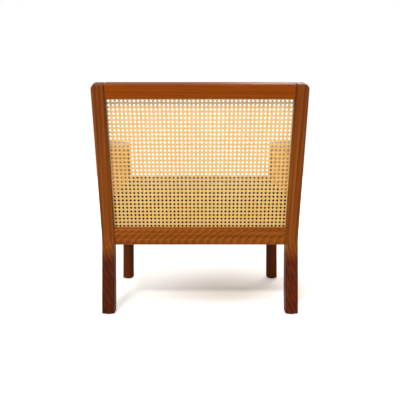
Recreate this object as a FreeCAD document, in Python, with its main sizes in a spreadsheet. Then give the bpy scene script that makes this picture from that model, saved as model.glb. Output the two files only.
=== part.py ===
import FreeCAD, Part
import math
import os
import Sketcher

# A low easy chair: a wooden frame with a leaning cane back, cane sides under level arms, and a loose seat
# cushion on rubber webbing. It faces -Y and its back leans towards +Y. The origin lies on the floor, under
# the middle of the whole chair. The sitter's left is +X. All lengths are in millimetres.

Vector = FreeCAD.Vector

doc = FreeCAD.newDocument("easy_chair")
sheet = doc.addObject("Spreadsheet::Sheet", "Sizes")

SIZES = [
    ("overall_width", "660", "across the outer faces of the posts"),
    ("leg_spacing", "507", "rear face of the rear leg to rear face of the front leg"),
    ("knee_height", "255", "height of the rear face's bend"),
    ("knee_step", "38", "bend of the post's front face below the rear one"),
    ("back_rake", "22", "lean of the back, in degrees from upright"),
    ("post_top_height", "751", "height of the post's rear top corner"),
    ("post_width", "42", "post, across the chair"),
    ("post_foot_depth", "50", "post below the knee, front to back"),
    ("post_top_depth", "32", "post at its top, square to the lean"),
    ("post_corner_radius", "16", "outer top corner of the post"),
    ("knee_radius", "110", "rounding of the bend"),
    ("arris", "5", "rounding of the posts', legs' and arms' long edges"),
    ("glide_height", "5", "thickness of a foot glide"),
    ("glide_diameter", "31", "foot glide"),
    ("glide_edge", "1.2", "bevel round the glide's lower edge"),
    ("nail_diameter", "3", "nail of the glide"),
    ("nail_length", "16", "nail of the glide"),
    ("front_leg_width", "42", "front leg below the seat, across the chair"),
    ("front_leg_depth", "45", "front leg, front to back"),
    ("side_thickness", "26", "arm, side rail and upper front leg, across the chair"),
    ("arm_top_height", "587", "top of the arm"),
    ("arm_height", "31", "depth of the arm's section"),
    ("arm_corner_radius", "16", "upper front corner of the arm"),
    ("rail_height", "57", "seat rails, top to bottom"),
    ("rear_rail_bottom", "229.5", "underside of the rear seat rail"),
    ("rail_setback", "3", "front seat rail behind the front legs' faces"),
    ("rear_rail_setback", "7", "rear seat rail in front of the posts' rear faces"),
    ("front_rail_thickness", "26", "front seat rail, front to back"),
    ("rail_arris", "3", "rounding of the rails' long edges"),
    ("top_rail_height", "45", "top rail, along the lean"),
    ("seat_slope", "4.5", "rise of the seat towards the front, in degrees"),
    ("tenon_thickness", "10", "every tenon"),
    ("tenon_length", "22", "tenons of the side rails"),
    ("tenon_wall", "3", "wood between the end of a crosswise tenon and a tenon of the side frame"),
    ("arm_tenon_length", "16", "tenons of the arm and of the front leg's top"),
    ("tenon_face", "8", "outer face of a rail to its tenon"),
    ("tenon_shoulder", "10", "edge of a rail to its tenon"),
    ("fit_gap", "0.2", "clearance round a tenon, a clip or a spline"),
    ("cane_inset", "21", "rear face of the posts to the cane of the back"),
    ("cane_thickness", "2", "woven cane"),
    ("cane_pitch", "48", "spacing of the openings in the cane"),
    ("cane_strand", "20", "width of cane between two openings"),
    ("side_cane_inset", "5", "inner face of the side frame to the cane"),
    ("cane_bite", "5", "cane that lies on its ledge"),
    ("side_slot_depth", "6", "slot in the post for the side cane"),
    ("spline_width", "4", "reed spline"),
    ("spline_depth", "5", "groove for the spline, below the ledge"),
    ("spline_rise", "1", "spline that stands above the cane"),
    ("strap_drop", "18", "top of the side rails to the top of the webbing"),
    ("strap_width", "50", "webbing"),
    ("strap_thickness", "3", "webbing"),
    ("strap_count", "6", "number of straps"),
    ("clip_wall", "1.2", "steel of a webbing clip"),
    ("clip_depth", "12", "webbing clip, into the rail"),
    ("cushion_length", "520", "seat cushion, front to back"),
    ("cushion_side_gap", "4", "cushion to the side frames"),
    ("cushion_back_gap", "3", "cushion to the rear seat rail"),
    ("cushion_rest_gap", "0.3", "cushion above the webbing"),
    ("cushion_height", "132", "cushion at its edge"),
    ("cushion_crown", "9", "rise of the cushion's middle above its edge"),
    ("cushion_corner", "24", "cushion's corners, seen from above"),
    ("cushion_roll", "11", "rounding of the cushion's upper and lower edges"),
    ("cushion_waist", "3", "how far the sides are drawn in between the seams"),
    ("crown_reach", "150", "edge of the cushion to the flat of its crown"),
    ("roll_share", "0.3", "share of the roll's height and reach at its middle level"),
    ("crown_rise_share", "0.6", "share of the crown's height at its middle level"),
    ("crown_reach_share", "0.45", "share of the crown's reach at its middle level"),
    ("wrap_thickness", "6", "cushion cover with its wadding, where it is thinnest but for the waist"),
    ("core_gap", "0.5", "wadding to foam"),
    ("overrun", "6", "how far a cut runs past the wood it opens"),
    ("same_place", "0.1", "two places nearer to each other than this are one"),
    ("probe_step", "0.05", "how far beside an edge the wood is tested"),
    ("sharp_turn", "60", "least turn between two faces that makes an arris, in degrees"),
]

for row, (alias, number, note) in enumerate(SIZES, start=1):
    sheet.set(f"A{row}", alias)
    sheet.set(f"B{row}", number)
    sheet.set(f"C{row}", note)
    sheet.setAlias(f"B{row}", alias)
doc.recompute()

# Places that follow from the sizes. X is measured from the middle of the chair and Z from the floor, and
# a drop is measured straight down from the sloping top of the side rails.
places = doc.addObject("App::VarSet", "Places")

PLACES = [
    ("half_width", "Sizes.overall_width / 2"),
    ("inner_post", "Places.half_width - Sizes.post_width"),
    ("inner_leg", "Places.half_width - Sizes.front_leg_width"),
    ("inner_side", "Places.half_width - Sizes.side_thickness"),
    ("tenon_inner", "Places.half_width - Sizes.tenon_face - Sizes.tenon_thickness"),
    ("cross_tenon_end", "Places.tenon_inner - Sizes.fit_gap - Sizes.tenon_wall - Sizes.fit_gap"),
    ("back_lean", "(Sizes.post_top_height - Sizes.knee_height) * tan(Sizes.back_rake)"),
    ("back_length", "(Sizes.post_top_height - Sizes.knee_height) / cos(Sizes.back_rake)"),
    ("corner_loss", "Sizes.rail_arris * (cos(Sizes.back_rake) + sin(Sizes.back_rake) - 1)"),
    ("depth", "Sizes.leg_spacing + Sizes.front_leg_depth + Places.back_lean - Places.corner_loss"),
    ("front_face", "-Places.depth / 2"),
    ("leg_back", "Places.front_face + Sizes.front_leg_depth"),
    ("rear_face", "Places.leg_back + Sizes.leg_spacing"),
    ("knee_front", "Places.rear_face - Sizes.post_foot_depth"),
    ("knee_front_height", "Sizes.knee_height - Sizes.knee_step"),
    ("top_front", "Places.rear_face + Places.back_lean - Sizes.post_top_depth * cos(Sizes.back_rake)"),
    ("top_front_height", "Sizes.post_top_height + Sizes.post_top_depth * sin(Sizes.back_rake)"),
    ("front_lean", "(Places.top_front - Places.knee_front)"
                   " / (Places.top_front_height - Places.knee_front_height)"),
    ("arm_bottom", "Sizes.arm_top_height - Sizes.arm_height"),
    ("rail_line", "Sizes.rear_rail_bottom + Sizes.rail_height"),
    ("seat_rise", "tan(Sizes.seat_slope)"),
    ("shoulder", "Places.rail_line + Sizes.leg_spacing * Places.seat_rise"
                 " - Sizes.strap_drop / cos(Sizes.seat_slope) - Sizes.cushion_rest_gap"),
    ("ledge", "Sizes.cane_bite + Sizes.spline_width"),
    ("side_cane_face", "Places.inner_side + Sizes.side_cane_inset"),
    ("side_ledge", "Places.side_cane_face + Sizes.cane_thickness"),
    ("opening_foot", "(Places.rail_line - Sizes.knee_height) / cos(Sizes.back_rake)"),
    ("opening_top", "Places.back_length - Sizes.top_rail_height"),
    ("rear_rail_foot", "(Sizes.rear_rail_bottom - Sizes.knee_height) / cos(Sizes.back_rake)"),
    ("clip_half", "Sizes.strap_thickness / 2 + Sizes.clip_wall"),
    ("strap_middle", "Sizes.strap_drop + Sizes.strap_thickness / 2"),
    ("strap_start", "(Sizes.tenon_shoulder - Sizes.leg_spacing) / cos(Sizes.seat_slope)"),
    ("front_rail_back", "Places.front_face + Sizes.rail_setback + Sizes.front_rail_thickness"),
    ("cushion_half", "Places.inner_side - Sizes.cushion_side_gap"),
    ("cushion_base", "Places.rail_line"
                     " - (Sizes.strap_drop - Sizes.cushion_rest_gap) / cos(Sizes.seat_slope)"),
    ("rear_rail_front", "Places.rear_face - Sizes.post_top_depth / cos(Sizes.back_rake)"),
    ("cushion_back", "(Places.rear_rail_front + (Places.cushion_base - Sizes.knee_height"
                     " + Places.rear_face * Places.seat_rise) * tan(Sizes.back_rake))"
                     " / (1 + Places.seat_rise * tan(Sizes.back_rake)) - Sizes.cushion_back_gap"),
    ("cushion_middle", "Places.cushion_back - Sizes.cushion_length / 2 * cos(Sizes.seat_slope)"),
    ("cushion_foot", "Places.cushion_base + (Places.rear_face - Places.cushion_middle) * Places.seat_rise"),
]

for alias, formula in PLACES:
    places.addProperty("App::PropertyFloat", alias)
    places.setExpression(alias, formula)
doc.recompute()


def value(formula):
    """The number that a formula of the sheet comes to."""
    result = sheet.evalExpression(str(formula))
    return float(getattr(result, "Value", result))


# The making of pieces: a body, an outline bound to the sheet, and what is done with it.

def new_body(name):
    """A body, the blank of one wooden piece or a set of like pieces."""
    body = doc.addObject("PartDesign::Body", name)
    body.Label = name
    return body


def origin_feature(body, role):
    """One of the body's own planes or axes."""
    return [feature for feature in body.Origin.OriginFeatures if feature.Role == role][0]


def new_sketch(body, name, role, away):
    """An empty sketch on one of the body's own planes, moved off it by a formula."""
    sketch = body.newObject("Sketcher::SketchObject", f"{body.Label}_{name}")
    sketch.AttachmentSupport = [(origin_feature(body, role), "")]
    sketch.MapMode = "FlatFace"
    sketch.setExpression("AttachmentOffset.Base.z", away)
    return sketch


def outline(body, name, role, corners, away="0", inner=()):
    """A closed outline of straight runs, with a hole where inner corners are given."""
    sketch = new_sketch(body, name, role, away)
    add_loop(sketch, corners)
    if inner:
        add_loop(sketch, inner)
    doc.recompute()
    return sketch


def add_loop(sketch, corners):
    """Add a closed loop of lines, each corner bound to its pair of formulas."""
    spots = [Vector(value(across), value(up), 0) for across, up in corners]
    first = sketch.GeometryCount
    count = len(corners)
    for index in range(count):
        sketch.addGeometry(Part.LineSegment(spots[index], spots[(index + 1) % count]), False)
    for index in range(count):
        following = first + (index + 1) % count
        sketch.addConstraint(Sketcher.Constraint("Coincident", first + index, 2, following, 1))
    for index, formulas in enumerate(corners):
        for kind, number, formula in zip(("DistanceX", "DistanceY"), spots[index], formulas):
            constraint = sketch.addConstraint(Sketcher.Constraint(kind, -1, 1, first + index, 1, number))
            sketch.setExpression(f"Constraints[{constraint}]", formula)


def rectangle(left, right, low, high):
    """The four corners of a rectangle."""
    return [(left, low), (right, low), (right, high), (left, high)]


def pad(body, sketch, length, both_ways=False):
    """Raise a solid from an outline, along the outline's normal or evenly both ways."""
    feature = body.newObject("PartDesign::Pad", f"{sketch.Name}_pad")
    feature.Profile = sketch
    feature.setExpression("Length", length)
    feature.Midplane = both_ways
    doc.recompute()
    return feature


def cut(body, sketch, length, both_ways=False):
    """Cut an outline out of the body, along the outline's normal or evenly both ways."""
    before = body.Tip.Shape.Volume
    feature = body.newObject("PartDesign::Pocket", f"{sketch.Name}_cut")
    feature.Profile = sketch
    feature.setExpression("Length", length)
    feature.Midplane = both_ways
    feature.Reversed = not both_ways
    doc.recompute()
    if not body.Tip.Shape.Volume < before:
        raise RuntimeError(f"{sketch.Name} cuts nothing")
    return feature


def near(one, other):
    """True for two places that are one."""
    return abs(one - other) < value("Sizes.same_place")


def between(low, place, high):
    """True for a place that lies clear of two others, between them."""
    return low < place < high and not near(low, place) and not near(place, high)


def middle_of(edge):
    """The point half way along an edge."""
    return edge.valueAt((edge.FirstParameter + edge.LastParameter) / 2)


def is_arris(shape, edge):
    """True for an edge where two faces meet at a clear outward corner."""
    faces = shape.ancestorsOfType(edge, Part.Face)
    if len(faces) != 2:
        return False
    middle = middle_of(edge)
    one, other = [face.normalAt(*face.Surface.parameter(middle)) for face in faces]
    if math.degrees(one.getAngle(other)) < value("Sizes.sharp_turn"):
        return False
    beside = middle + (one - other) * value("Sizes.probe_step")
    return not shape.isInside(beside, FreeCAD.Base.Precision.confusion(), True)


def edges_where(body, wanted):
    """Names of the body's edges whose middle is wanted."""
    shape = body.Tip.Shape
    return [f"Edge{number}" for number, edge in enumerate(shape.Edges, start=1) if wanted(middle_of(edge))]


def arrises_where(body, wanted):
    """Names of the body's outward arrises whose middle is wanted."""
    shape = body.Tip.Shape
    names = []
    for number, edge in enumerate(shape.Edges, start=1):
        if wanted(middle_of(edge)) and is_arris(shape, edge):
            names.append(f"Edge{number}")
    return names


def on_sole(body, spot):
    """True for a place on the sole of a post or leg."""
    return near(body.Placement.multVec(spot).z, value("Sizes.glide_height"))


def round_edges(body, name, names, radius):
    """Round the named edges."""
    base = body.Tip
    feature = body.newObject("PartDesign::Fillet", f"{body.Label}_{name}")
    feature.Base = (base, names)
    feature.setExpression("Radius", radius)
    doc.recompute()
    return feature


def mirror(source, name):
    """The other hand of a piece, across the middle of the chair."""
    twin = doc.addObject("Part::Mirroring", name)
    twin.Label = name
    twin.Source = source
    twin.Normal = Vector(1, 0, 0)
    return twin


def tilt(piece, angle, along, up):
    """Turn a piece back about X by an angle, with its foot at a place on the chair's side."""
    piece.Placement = FreeCAD.Placement(Vector(0, 0, 0), FreeCAD.Rotation(Vector(1, 0, 0), -1))
    piece.setExpression(".Placement.Rotation.Angle", f"-{angle}")
    piece.setExpression(".Placement.Base.y", along)
    piece.setExpression(".Placement.Base.z", up)


def lean_back(piece):
    """Stand a piece on the plane of the posts' rear faces. Its Z runs up the lean from the knee."""
    tilt(piece, "Sizes.back_rake", "Places.rear_face", "Sizes.knee_height")


# Points on the side of the chair, as pairs of formulas for Y and Z.

def on_lean(point):
    """A point of the chair's side as it lies on a piece that leans back."""
    along, up = point
    behind = f"(({along}) - Places.rear_face)"
    above = f"(({up}) - Sizes.knee_height)"
    return (
        f"{behind} * cos(Sizes.back_rake) - {above} * sin(Sizes.back_rake)",
        f"{behind} * sin(Sizes.back_rake) + {above} * cos(Sizes.back_rake)",
    )


def on_seat(point):
    """A point in the plane of the seat, along it and square to it, as it lies on the chair's side."""
    along, up = point
    return (
        f"Places.rear_face + ({along}) * cos(Sizes.seat_slope) + ({up}) * sin(Sizes.seat_slope)",
        f"Places.rail_line - ({along}) * sin(Sizes.seat_slope) + ({up}) * cos(Sizes.seat_slope)",
    )


def post_front(height, beyond="0"):
    """A point of the post's front face at a height, moved level into the post."""
    lean = f"(({height}) - Places.knee_front_height) * Places.front_lean"
    return (f"Places.knee_front + {lean} + ({beyond})", height)


def on_rail(along, drop):
    """A point at a drop below the side rail's sloping top."""
    return (along, f"Places.rail_line - ({drop}) + (Places.rear_face - ({along})) * Places.seat_rise")


def rail_at_post(drop, beyond="0"):
    """Where a line at a drop below the rail's top meets the post's front face, moved into the post."""
    rise = f"Places.rail_line - ({drop}) + Places.rear_face * Places.seat_rise - Places.knee_front_height"
    both = "(1 + Places.seat_rise * Places.front_lean)"
    meeting = f"(Places.knee_front + ({rise}) * Places.front_lean) / {both}"
    return on_rail(f"{meeting} + ({beyond})", drop)


def side_opening(grow, beyond="0"):
    """The opening under the arm, each side moved outwards, the rear one level into the post."""
    return [
        on_rail(f"Places.leg_back - ({grow})", grow),
        rail_at_post(grow, beyond),
        post_front(f"Places.arm_bottom + ({grow})", beyond),
        (f"Places.leg_back - ({grow})", f"Places.arm_bottom + ({grow})"),
    ]


def side_spline(ease):
    """The spline's way round three sides of the opening, from post to post."""
    near_side = side_opening(f"Sizes.cane_bite + ({ease})")
    far_side = side_opening(f"Places.ledge - ({ease})")
    return [
        near_side[1], near_side[0], near_side[3], near_side[2],
        far_side[2], far_side[3], far_side[0], far_side[1],
    ]


def back_opening(grow):
    """The opening of the back on the leaning plane, each side moved outwards."""
    return rectangle(
        f"-Places.inner_post - ({grow})", f"Places.inner_post + ({grow})",
        f"Places.opening_foot - ({grow})", f"Places.opening_top + ({grow})",
    )


def rail_tenon(ease):
    """The tenon of the side rail in the post, or its mortise when eased."""
    high = f"Sizes.tenon_shoulder - ({ease})"
    low = f"Sizes.rail_height - Sizes.tenon_shoulder + ({ease})"
    reach = f"Sizes.tenon_length + ({ease})"
    return [
        rail_at_post(low, f"-({ease})"), rail_at_post(low, reach),
        rail_at_post(high, reach), rail_at_post(high, f"-({ease})"),
    ]


def rail_front_tenon(ease):
    """The tenon of the side rail in the front leg, or its mortise when eased."""
    high = f"Sizes.tenon_shoulder - ({ease})"
    low = f"Sizes.rail_height - Sizes.tenon_shoulder + ({ease})"
    start = f"Places.leg_back + ({ease})"
    end = f"Places.leg_back - Sizes.tenon_length - ({ease})"
    return [on_rail(start, low), on_rail(end, low), on_rail(end, high), on_rail(start, high)]


def arm_tenon(ease):
    """The tenon of the arm in the post, or its mortise when eased."""
    low = f"Places.arm_bottom + Sizes.tenon_shoulder - ({ease})"
    high = f"Sizes.arm_top_height - Sizes.tenon_shoulder + ({ease})"
    reach = f"Sizes.arm_tenon_length + ({ease})"
    return [
        post_front(low, f"-({ease})"), post_front(low, reach),
        post_front(high, reach), post_front(high, f"-({ease})"),
    ]


def leg_tenon(ease):
    """The tenon of the front leg in the arm, or its mortise when eased."""
    return rectangle(
        f"Places.front_face + Sizes.tenon_shoulder - ({ease})",
        f"Places.leg_back - Sizes.tenon_shoulder + ({ease})",
        f"Places.arm_bottom - ({ease})",
        f"Places.arm_bottom + Sizes.arm_tenon_length + ({ease})",
    )


def front_rail_tenon(ease):
    """The section of the front rail's tenons, or of their mortises when eased."""
    outer = "Places.front_face + Sizes.rail_setback + Sizes.tenon_face"
    return rectangle(
        f"{outer} - ({ease})",
        f"{outer} + Sizes.tenon_thickness + ({ease})",
        f"Places.shoulder - Sizes.rail_height + Sizes.tenon_shoulder - ({ease})",
        f"Places.shoulder - Sizes.tenon_shoulder + ({ease})",
    )


def back_rail_tenon(setback, foot, top, ease):
    """The section of a tenon between the posts, or of its mortise when eased."""
    outer = f"({setback}) + Sizes.tenon_face"
    return rectangle(
        f"-({outer}) - Sizes.tenon_thickness - ({ease})",
        f"-({outer}) + ({ease})",
        f"({foot}) + Sizes.tenon_shoulder - ({ease})",
        f"({top}) - Sizes.tenon_shoulder + ({ease})",
    )


TOP_RAIL_TENON = ("0", "Places.opening_top + Sizes.tenon_shoulder / 2", "Places.back_length")
REAR_RAIL_TENON = ("Sizes.rear_rail_setback", "Places.rear_rail_foot", "Places.opening_foot")
NO_EASE = "0"
EASED = "Sizes.fit_gap"


def cut_tenon_hole(body, name, corners):
    """Cut the mortise of a tenon that lies in the side frame."""
    sketch = outline(body, name, "YZ_Plane", corners, "Places.tenon_inner - Sizes.fit_gap")
    cut(body, sketch, "Sizes.tenon_thickness + 2 * Sizes.fit_gap")


def add_tenon(body, name, corners):
    """Add a tenon that lies in the side frame."""
    sketch = outline(body, name, "YZ_Plane", corners, "Places.tenon_inner")
    pad(body, sketch, "Sizes.tenon_thickness")


def cut_side_seat(body):
    """Cut the side cane's ledge and the spline's groove into one member of the side frame."""
    ledge = outline(body, "ledge", "YZ_Plane", side_opening("Places.ledge"), "Places.inner_leg")
    cut(body, ledge, "Places.side_ledge - Places.inner_leg")
    groove = outline(body, "groove", "YZ_Plane", side_spline(NO_EASE), "Places.side_ledge")
    cut(body, groove, "Sizes.spline_depth")


def cut_back_seat(body):
    """Cut the back cane's ledge and the spline's groove into one member of the back."""
    ledge = outline(body, "back_ledge", "XZ_Plane", back_opening("Places.ledge"), "Sizes.cane_inset")
    cut(body, ledge, "Sizes.post_foot_depth")
    groove = outline(
        body, "back_groove", "XZ_Plane", back_opening("Places.ledge"),
        "Sizes.cane_inset - Sizes.spline_depth", inner=back_opening("Sizes.cane_bite"),
    )
    cut(body, groove, "Sizes.spline_depth")


# Rear post: one sawn piece, upright to the knee and leaning back above it, thinner towards its top. It is
# drawn on the leaning plane, so that the back's ledge, groove and mortises lie square on it.

def make_post(name):
    post = new_body(name)
    lean_back(post)
    knee = on_lean(("Places.knee_front", "Places.knee_front_height"))
    side = outline(post, "side", "YZ_Plane", [
        on_lean(("Places.knee_front", "Sizes.glide_height")),
        on_lean(("Places.rear_face", "Sizes.glide_height")),
        ("0", "0"),
        ("0", "Places.back_length"),
        ("-Sizes.post_top_depth", "Places.back_length"),
        knee,
    ], "Places.inner_post")
    pad(post, side, "Sizes.post_width")

    knees = [(0, 0), (value(knee[0]), value(knee[1]))]
    names = edges_where(post, lambda spot: any(near(spot.y, y) and near(spot.z, z) for y, z in knees))
    round_edges(post, "knee", names, "Sizes.knee_radius")
    edge_x, edge_z = value("Places.half_width"), value("Places.back_length")
    names = edges_where(post, lambda spot: near(spot.x, edge_x) and near(spot.z, edge_z))
    round_edges(post, "corner", names, "Sizes.post_corner_radius")
    names = arrises_where(post, lambda spot: not on_sole(post, spot))
    round_edges(post, "arrises", names, "Sizes.arris")

    cut_back_seat(post)
    for label, tenon in (("top_mortise", TOP_RAIL_TENON), ("rear_mortise", REAR_RAIL_TENON)):
        mortise = outline(post, label, "YZ_Plane", back_rail_tenon(*tenon, EASED), "Places.inner_post")
        cut(post, mortise, "Places.cross_tenon_end + Sizes.fit_gap - Places.inner_post")
    cut_tenon_hole(post, "arm_mortise", [on_lean(point) for point in arm_tenon(EASED)])
    cut_tenon_hole(post, "rail_mortise", [on_lean(point) for point in rail_tenon(EASED)])
    slot = outline(post, "cane_slot", "YZ_Plane", [
        on_lean(point) for point in [
            rail_at_post("Sizes.cane_bite + Sizes.fit_gap", "-Sizes.overrun"),
            rail_at_post("Sizes.cane_bite + Sizes.fit_gap", "Sizes.side_slot_depth + Sizes.fit_gap"),
            post_front("Places.arm_bottom + Sizes.cane_bite + Sizes.fit_gap",
                       "Sizes.side_slot_depth + Sizes.fit_gap"),
            post_front("Places.arm_bottom + Sizes.cane_bite + Sizes.fit_gap", "-Sizes.overrun"),
        ]
    ], "Places.side_cane_face - Sizes.fit_gap / 2")
    cut(post, slot, "Sizes.cane_thickness + Sizes.fit_gap")
    foot = on_lean(("Places.rear_face - Sizes.post_foot_depth / 2", "Sizes.glide_height"))
    cut_nail_hole(post, "Places.half_width - Sizes.post_width / 2", foot, "Sizes.back_rake")
    return post


def cut_nail_hole(leg, across, foot, angle):
    """Drill the hole for the glide's nail, upwards from the middle of the foot."""
    sketch = new_sketch(leg, "nail_hole", "XY_Plane", foot[1])
    sketch.AttachmentOffset = FreeCAD.Placement(Vector(0, 0, 0), FreeCAD.Rotation(Vector(1, 0, 0), 1))
    sketch.setExpression("AttachmentOffset.Base.x", across)
    sketch.setExpression("AttachmentOffset.Base.y", foot[0])
    sketch.setExpression("AttachmentOffset.Rotation.Angle", angle)
    circle = sketch.addGeometry(Part.Circle(Vector(0, 0, 0), Vector(0, 0, 1), value("Sizes.nail_diameter")))
    sketch.addConstraint(Sketcher.Constraint("Coincident", circle, 3, -1, 1))
    radius = sketch.addConstraint(Sketcher.Constraint("Radius", circle, value("Sizes.nail_diameter") / 2))
    sketch.setExpression(f"Constraints[{radius}]", "Sizes.nail_diameter / 2")
    doc.recompute()
    cut(leg, sketch, "Sizes.nail_length + Sizes.fit_gap")


# Front leg: thick below the seat, where a broad facet takes off its inner rear corner, and as thin as the
# arm above it.

def make_front_leg(name):
    leg = new_body(name)
    front = outline(leg, "front", "XZ_Plane", [
        ("Places.inner_leg", "Sizes.glide_height"),
        ("Places.half_width", "Sizes.glide_height"),
        ("Places.half_width", "Places.arm_bottom"),
        ("Places.inner_side", "Places.arm_bottom"),
        ("Places.inner_side", "Places.shoulder"),
        ("Places.inner_leg", "Places.shoulder"),
    ], "-Places.leg_back")
    pad(leg, front, "Sizes.front_leg_depth")
    inner_x, back_y = value("Places.inner_leg"), value("Places.leg_back")
    names = edges_where(leg, lambda spot: near(spot.x, inner_x) and near(spot.y, back_y))
    base = leg.Tip
    facet = leg.newObject("PartDesign::Chamfer", f"{name}_facet")
    facet.Base = (base, names)
    facet.setExpression("Size", "Sizes.front_leg_width - Sizes.side_thickness")
    doc.recompute()
    cane_x, top_z = value("Places.inner_side"), value("Places.arm_bottom")
    names = arrises_where(leg, lambda spot: not on_sole(leg, spot) and not near(spot.z, top_z)
                          and not (near(spot.x, cane_x) and near(spot.y, back_y)))
    round_edges(leg, "arrises", names, "Sizes.arris")

    add_tenon(leg, "top_tenon", leg_tenon(NO_EASE))
    cut_side_seat(leg)
    cut_tenon_hole(leg, "rail_mortise", rail_front_tenon(EASED))
    mortise = outline(leg, "front_mortise", "YZ_Plane", front_rail_tenon(EASED), "Places.inner_leg")
    cut(leg, mortise, "Places.cross_tenon_end + Sizes.fit_gap - Places.inner_leg")
    foot = ("Places.leg_back - Sizes.front_leg_depth / 2", "Sizes.glide_height")
    cut_nail_hole(leg, "Places.half_width - Sizes.front_leg_width / 2", foot, "0")
    return leg


# Arm: level, flush with the leg's front and outer faces, and cut to the lean where it meets the post.

def make_arm(name):
    arm = new_body(name)
    side = outline(arm, "side", "YZ_Plane", [
        ("Places.front_face", "Places.arm_bottom"),
        post_front("Places.arm_bottom"),
        post_front("Sizes.arm_top_height"),
        ("Places.front_face", "Sizes.arm_top_height"),
    ], "Places.inner_side")
    pad(arm, side, "Sizes.side_thickness")
    front_y, top_z = value("Places.front_face"), value("Sizes.arm_top_height")
    corner = edges_where(arm, lambda spot: near(spot.y, front_y) and near(spot.z, top_z))
    round_edges(arm, "corner", corner, "Sizes.arm_corner_radius")
    low_z, post_y = value("Places.arm_bottom"), value(post_front("Places.arm_bottom")[0])
    upper = arrises_where(arm, lambda spot: not near(spot.z, low_z) and spot.y < post_y)
    round_edges(arm, "arrises", upper, "Sizes.arris")

    add_tenon(arm, "tenon", arm_tenon(NO_EASE))
    cut_side_seat(arm)
    cut_tenon_hole(arm, "leg_mortise", leg_tenon(EASED))
    return arm


# Side rail: rises towards the front, with a groove in its inner face for the clips of the webbing.

RAIL_END = rail_at_post("Places.strap_middle / cos(Sizes.seat_slope)")[0]
STRAP_STOP = f"(({RAIL_END}) - Places.rear_face - Sizes.tenon_shoulder) / cos(Sizes.seat_slope)"


def clip_groove():
    """The side outline of the groove that the webbing's clips are pressed into."""
    half = "(Places.clip_half + Sizes.fit_gap)"
    corners = rectangle(
        "Places.strap_start - Sizes.fit_gap", f"{STRAP_STOP} + Sizes.fit_gap",
        f"-Places.strap_middle - {half}", f"{half} - Places.strap_middle",
    )
    return [on_seat(corner) for corner in corners]


def make_side_rail(name):
    rail = new_body(name)
    side = outline(rail, "side", "YZ_Plane", [
        on_rail("Places.leg_back", "Sizes.rail_height"),
        rail_at_post("Sizes.rail_height"),
        rail_at_post("0"),
        on_rail("Places.leg_back", "0"),
    ], "Places.inner_side")
    pad(rail, side, "Sizes.side_thickness")
    start_y, stop_y = value("Places.leg_back"), value(rail_at_post("Sizes.rail_height")[0])
    long_edges = arrises_where(rail, lambda spot: between(start_y, spot.y, stop_y))
    round_edges(rail, "arrises", long_edges, "Sizes.rail_arris")

    add_tenon(rail, "front_tenon", rail_front_tenon(NO_EASE))
    add_tenon(rail, "rear_tenon", rail_tenon(NO_EASE))
    cut_side_seat(rail)
    groove = outline(rail, "clip_groove", "YZ_Plane", clip_groove(), "Places.inner_side")
    cut(rail, groove, "Sizes.clip_depth + Sizes.fit_gap")
    return rail


# Rails across the chair. The top rail and the rear seat rail lean with the posts and carry the cane; the
# front seat rail stands upright between the front legs.

def make_cross_rail(name, section, tenon_section, half_length):
    rail = new_body(name)
    pad(rail, outline(rail, "section", "YZ_Plane", section), f"2 * ({half_length})", both_ways=True)
    long_edges = arrises_where(rail, lambda spot: near(spot.x, 0))
    round_edges(rail, "arrises", long_edges, "Sizes.rail_arris")
    tenon = outline(rail, "tenon", "YZ_Plane", tenon_section)
    pad(rail, tenon, "2 * Places.cross_tenon_end", both_ways=True)
    return rail


def make_top_rail():
    section = rectangle("-Sizes.post_top_depth", "0", "Places.opening_top", "Places.back_length")
    tenon = back_rail_tenon(*TOP_RAIL_TENON, NO_EASE)
    rail = make_cross_rail("top_rail", section, tenon, "Places.inner_post")
    lean_back(rail)
    cut_back_seat(rail)
    return rail


def make_rear_rail():
    section = rectangle(
        "-Sizes.post_top_depth", "-Sizes.rear_rail_setback", "Places.rear_rail_foot", "Places.opening_foot",
    )
    tenon = back_rail_tenon(*REAR_RAIL_TENON, NO_EASE)
    rail = make_cross_rail("rear_seat_rail", section, tenon, "Places.inner_post")
    lean_back(rail)
    cut_back_seat(rail)
    return rail


def make_front_rail():
    section = rectangle(
        "Places.front_face + Sizes.rail_setback", "Places.front_rail_back",
        "Places.shoulder - Sizes.rail_height", "Places.shoulder",
    )
    return make_cross_rail("front_seat_rail", section, front_rail_tenon(NO_EASE), "Places.inner_leg")


# Cane: a flat woven sheet in each frame, open in rows of eight-sided holes. It lies on its ledges, and a
# reed spline beside it fills the groove.

def eight_sided(across, up):
    """One hole of the weave, as a closed wire in the XY plane."""
    half = (value("Sizes.cane_pitch") - value("Sizes.cane_strand")) / 2
    cut_back = half * math.tan(math.pi / 8)
    ring = [(half, -cut_back), (half, cut_back), (cut_back, half), (-cut_back, half),
            (-half, cut_back), (-half, -cut_back), (-cut_back, -half), (cut_back, -half)]
    points = [Vector(across + x, up + y, 0) for x, y in ring]
    return Part.makePolygon(points + points[:1])


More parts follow.
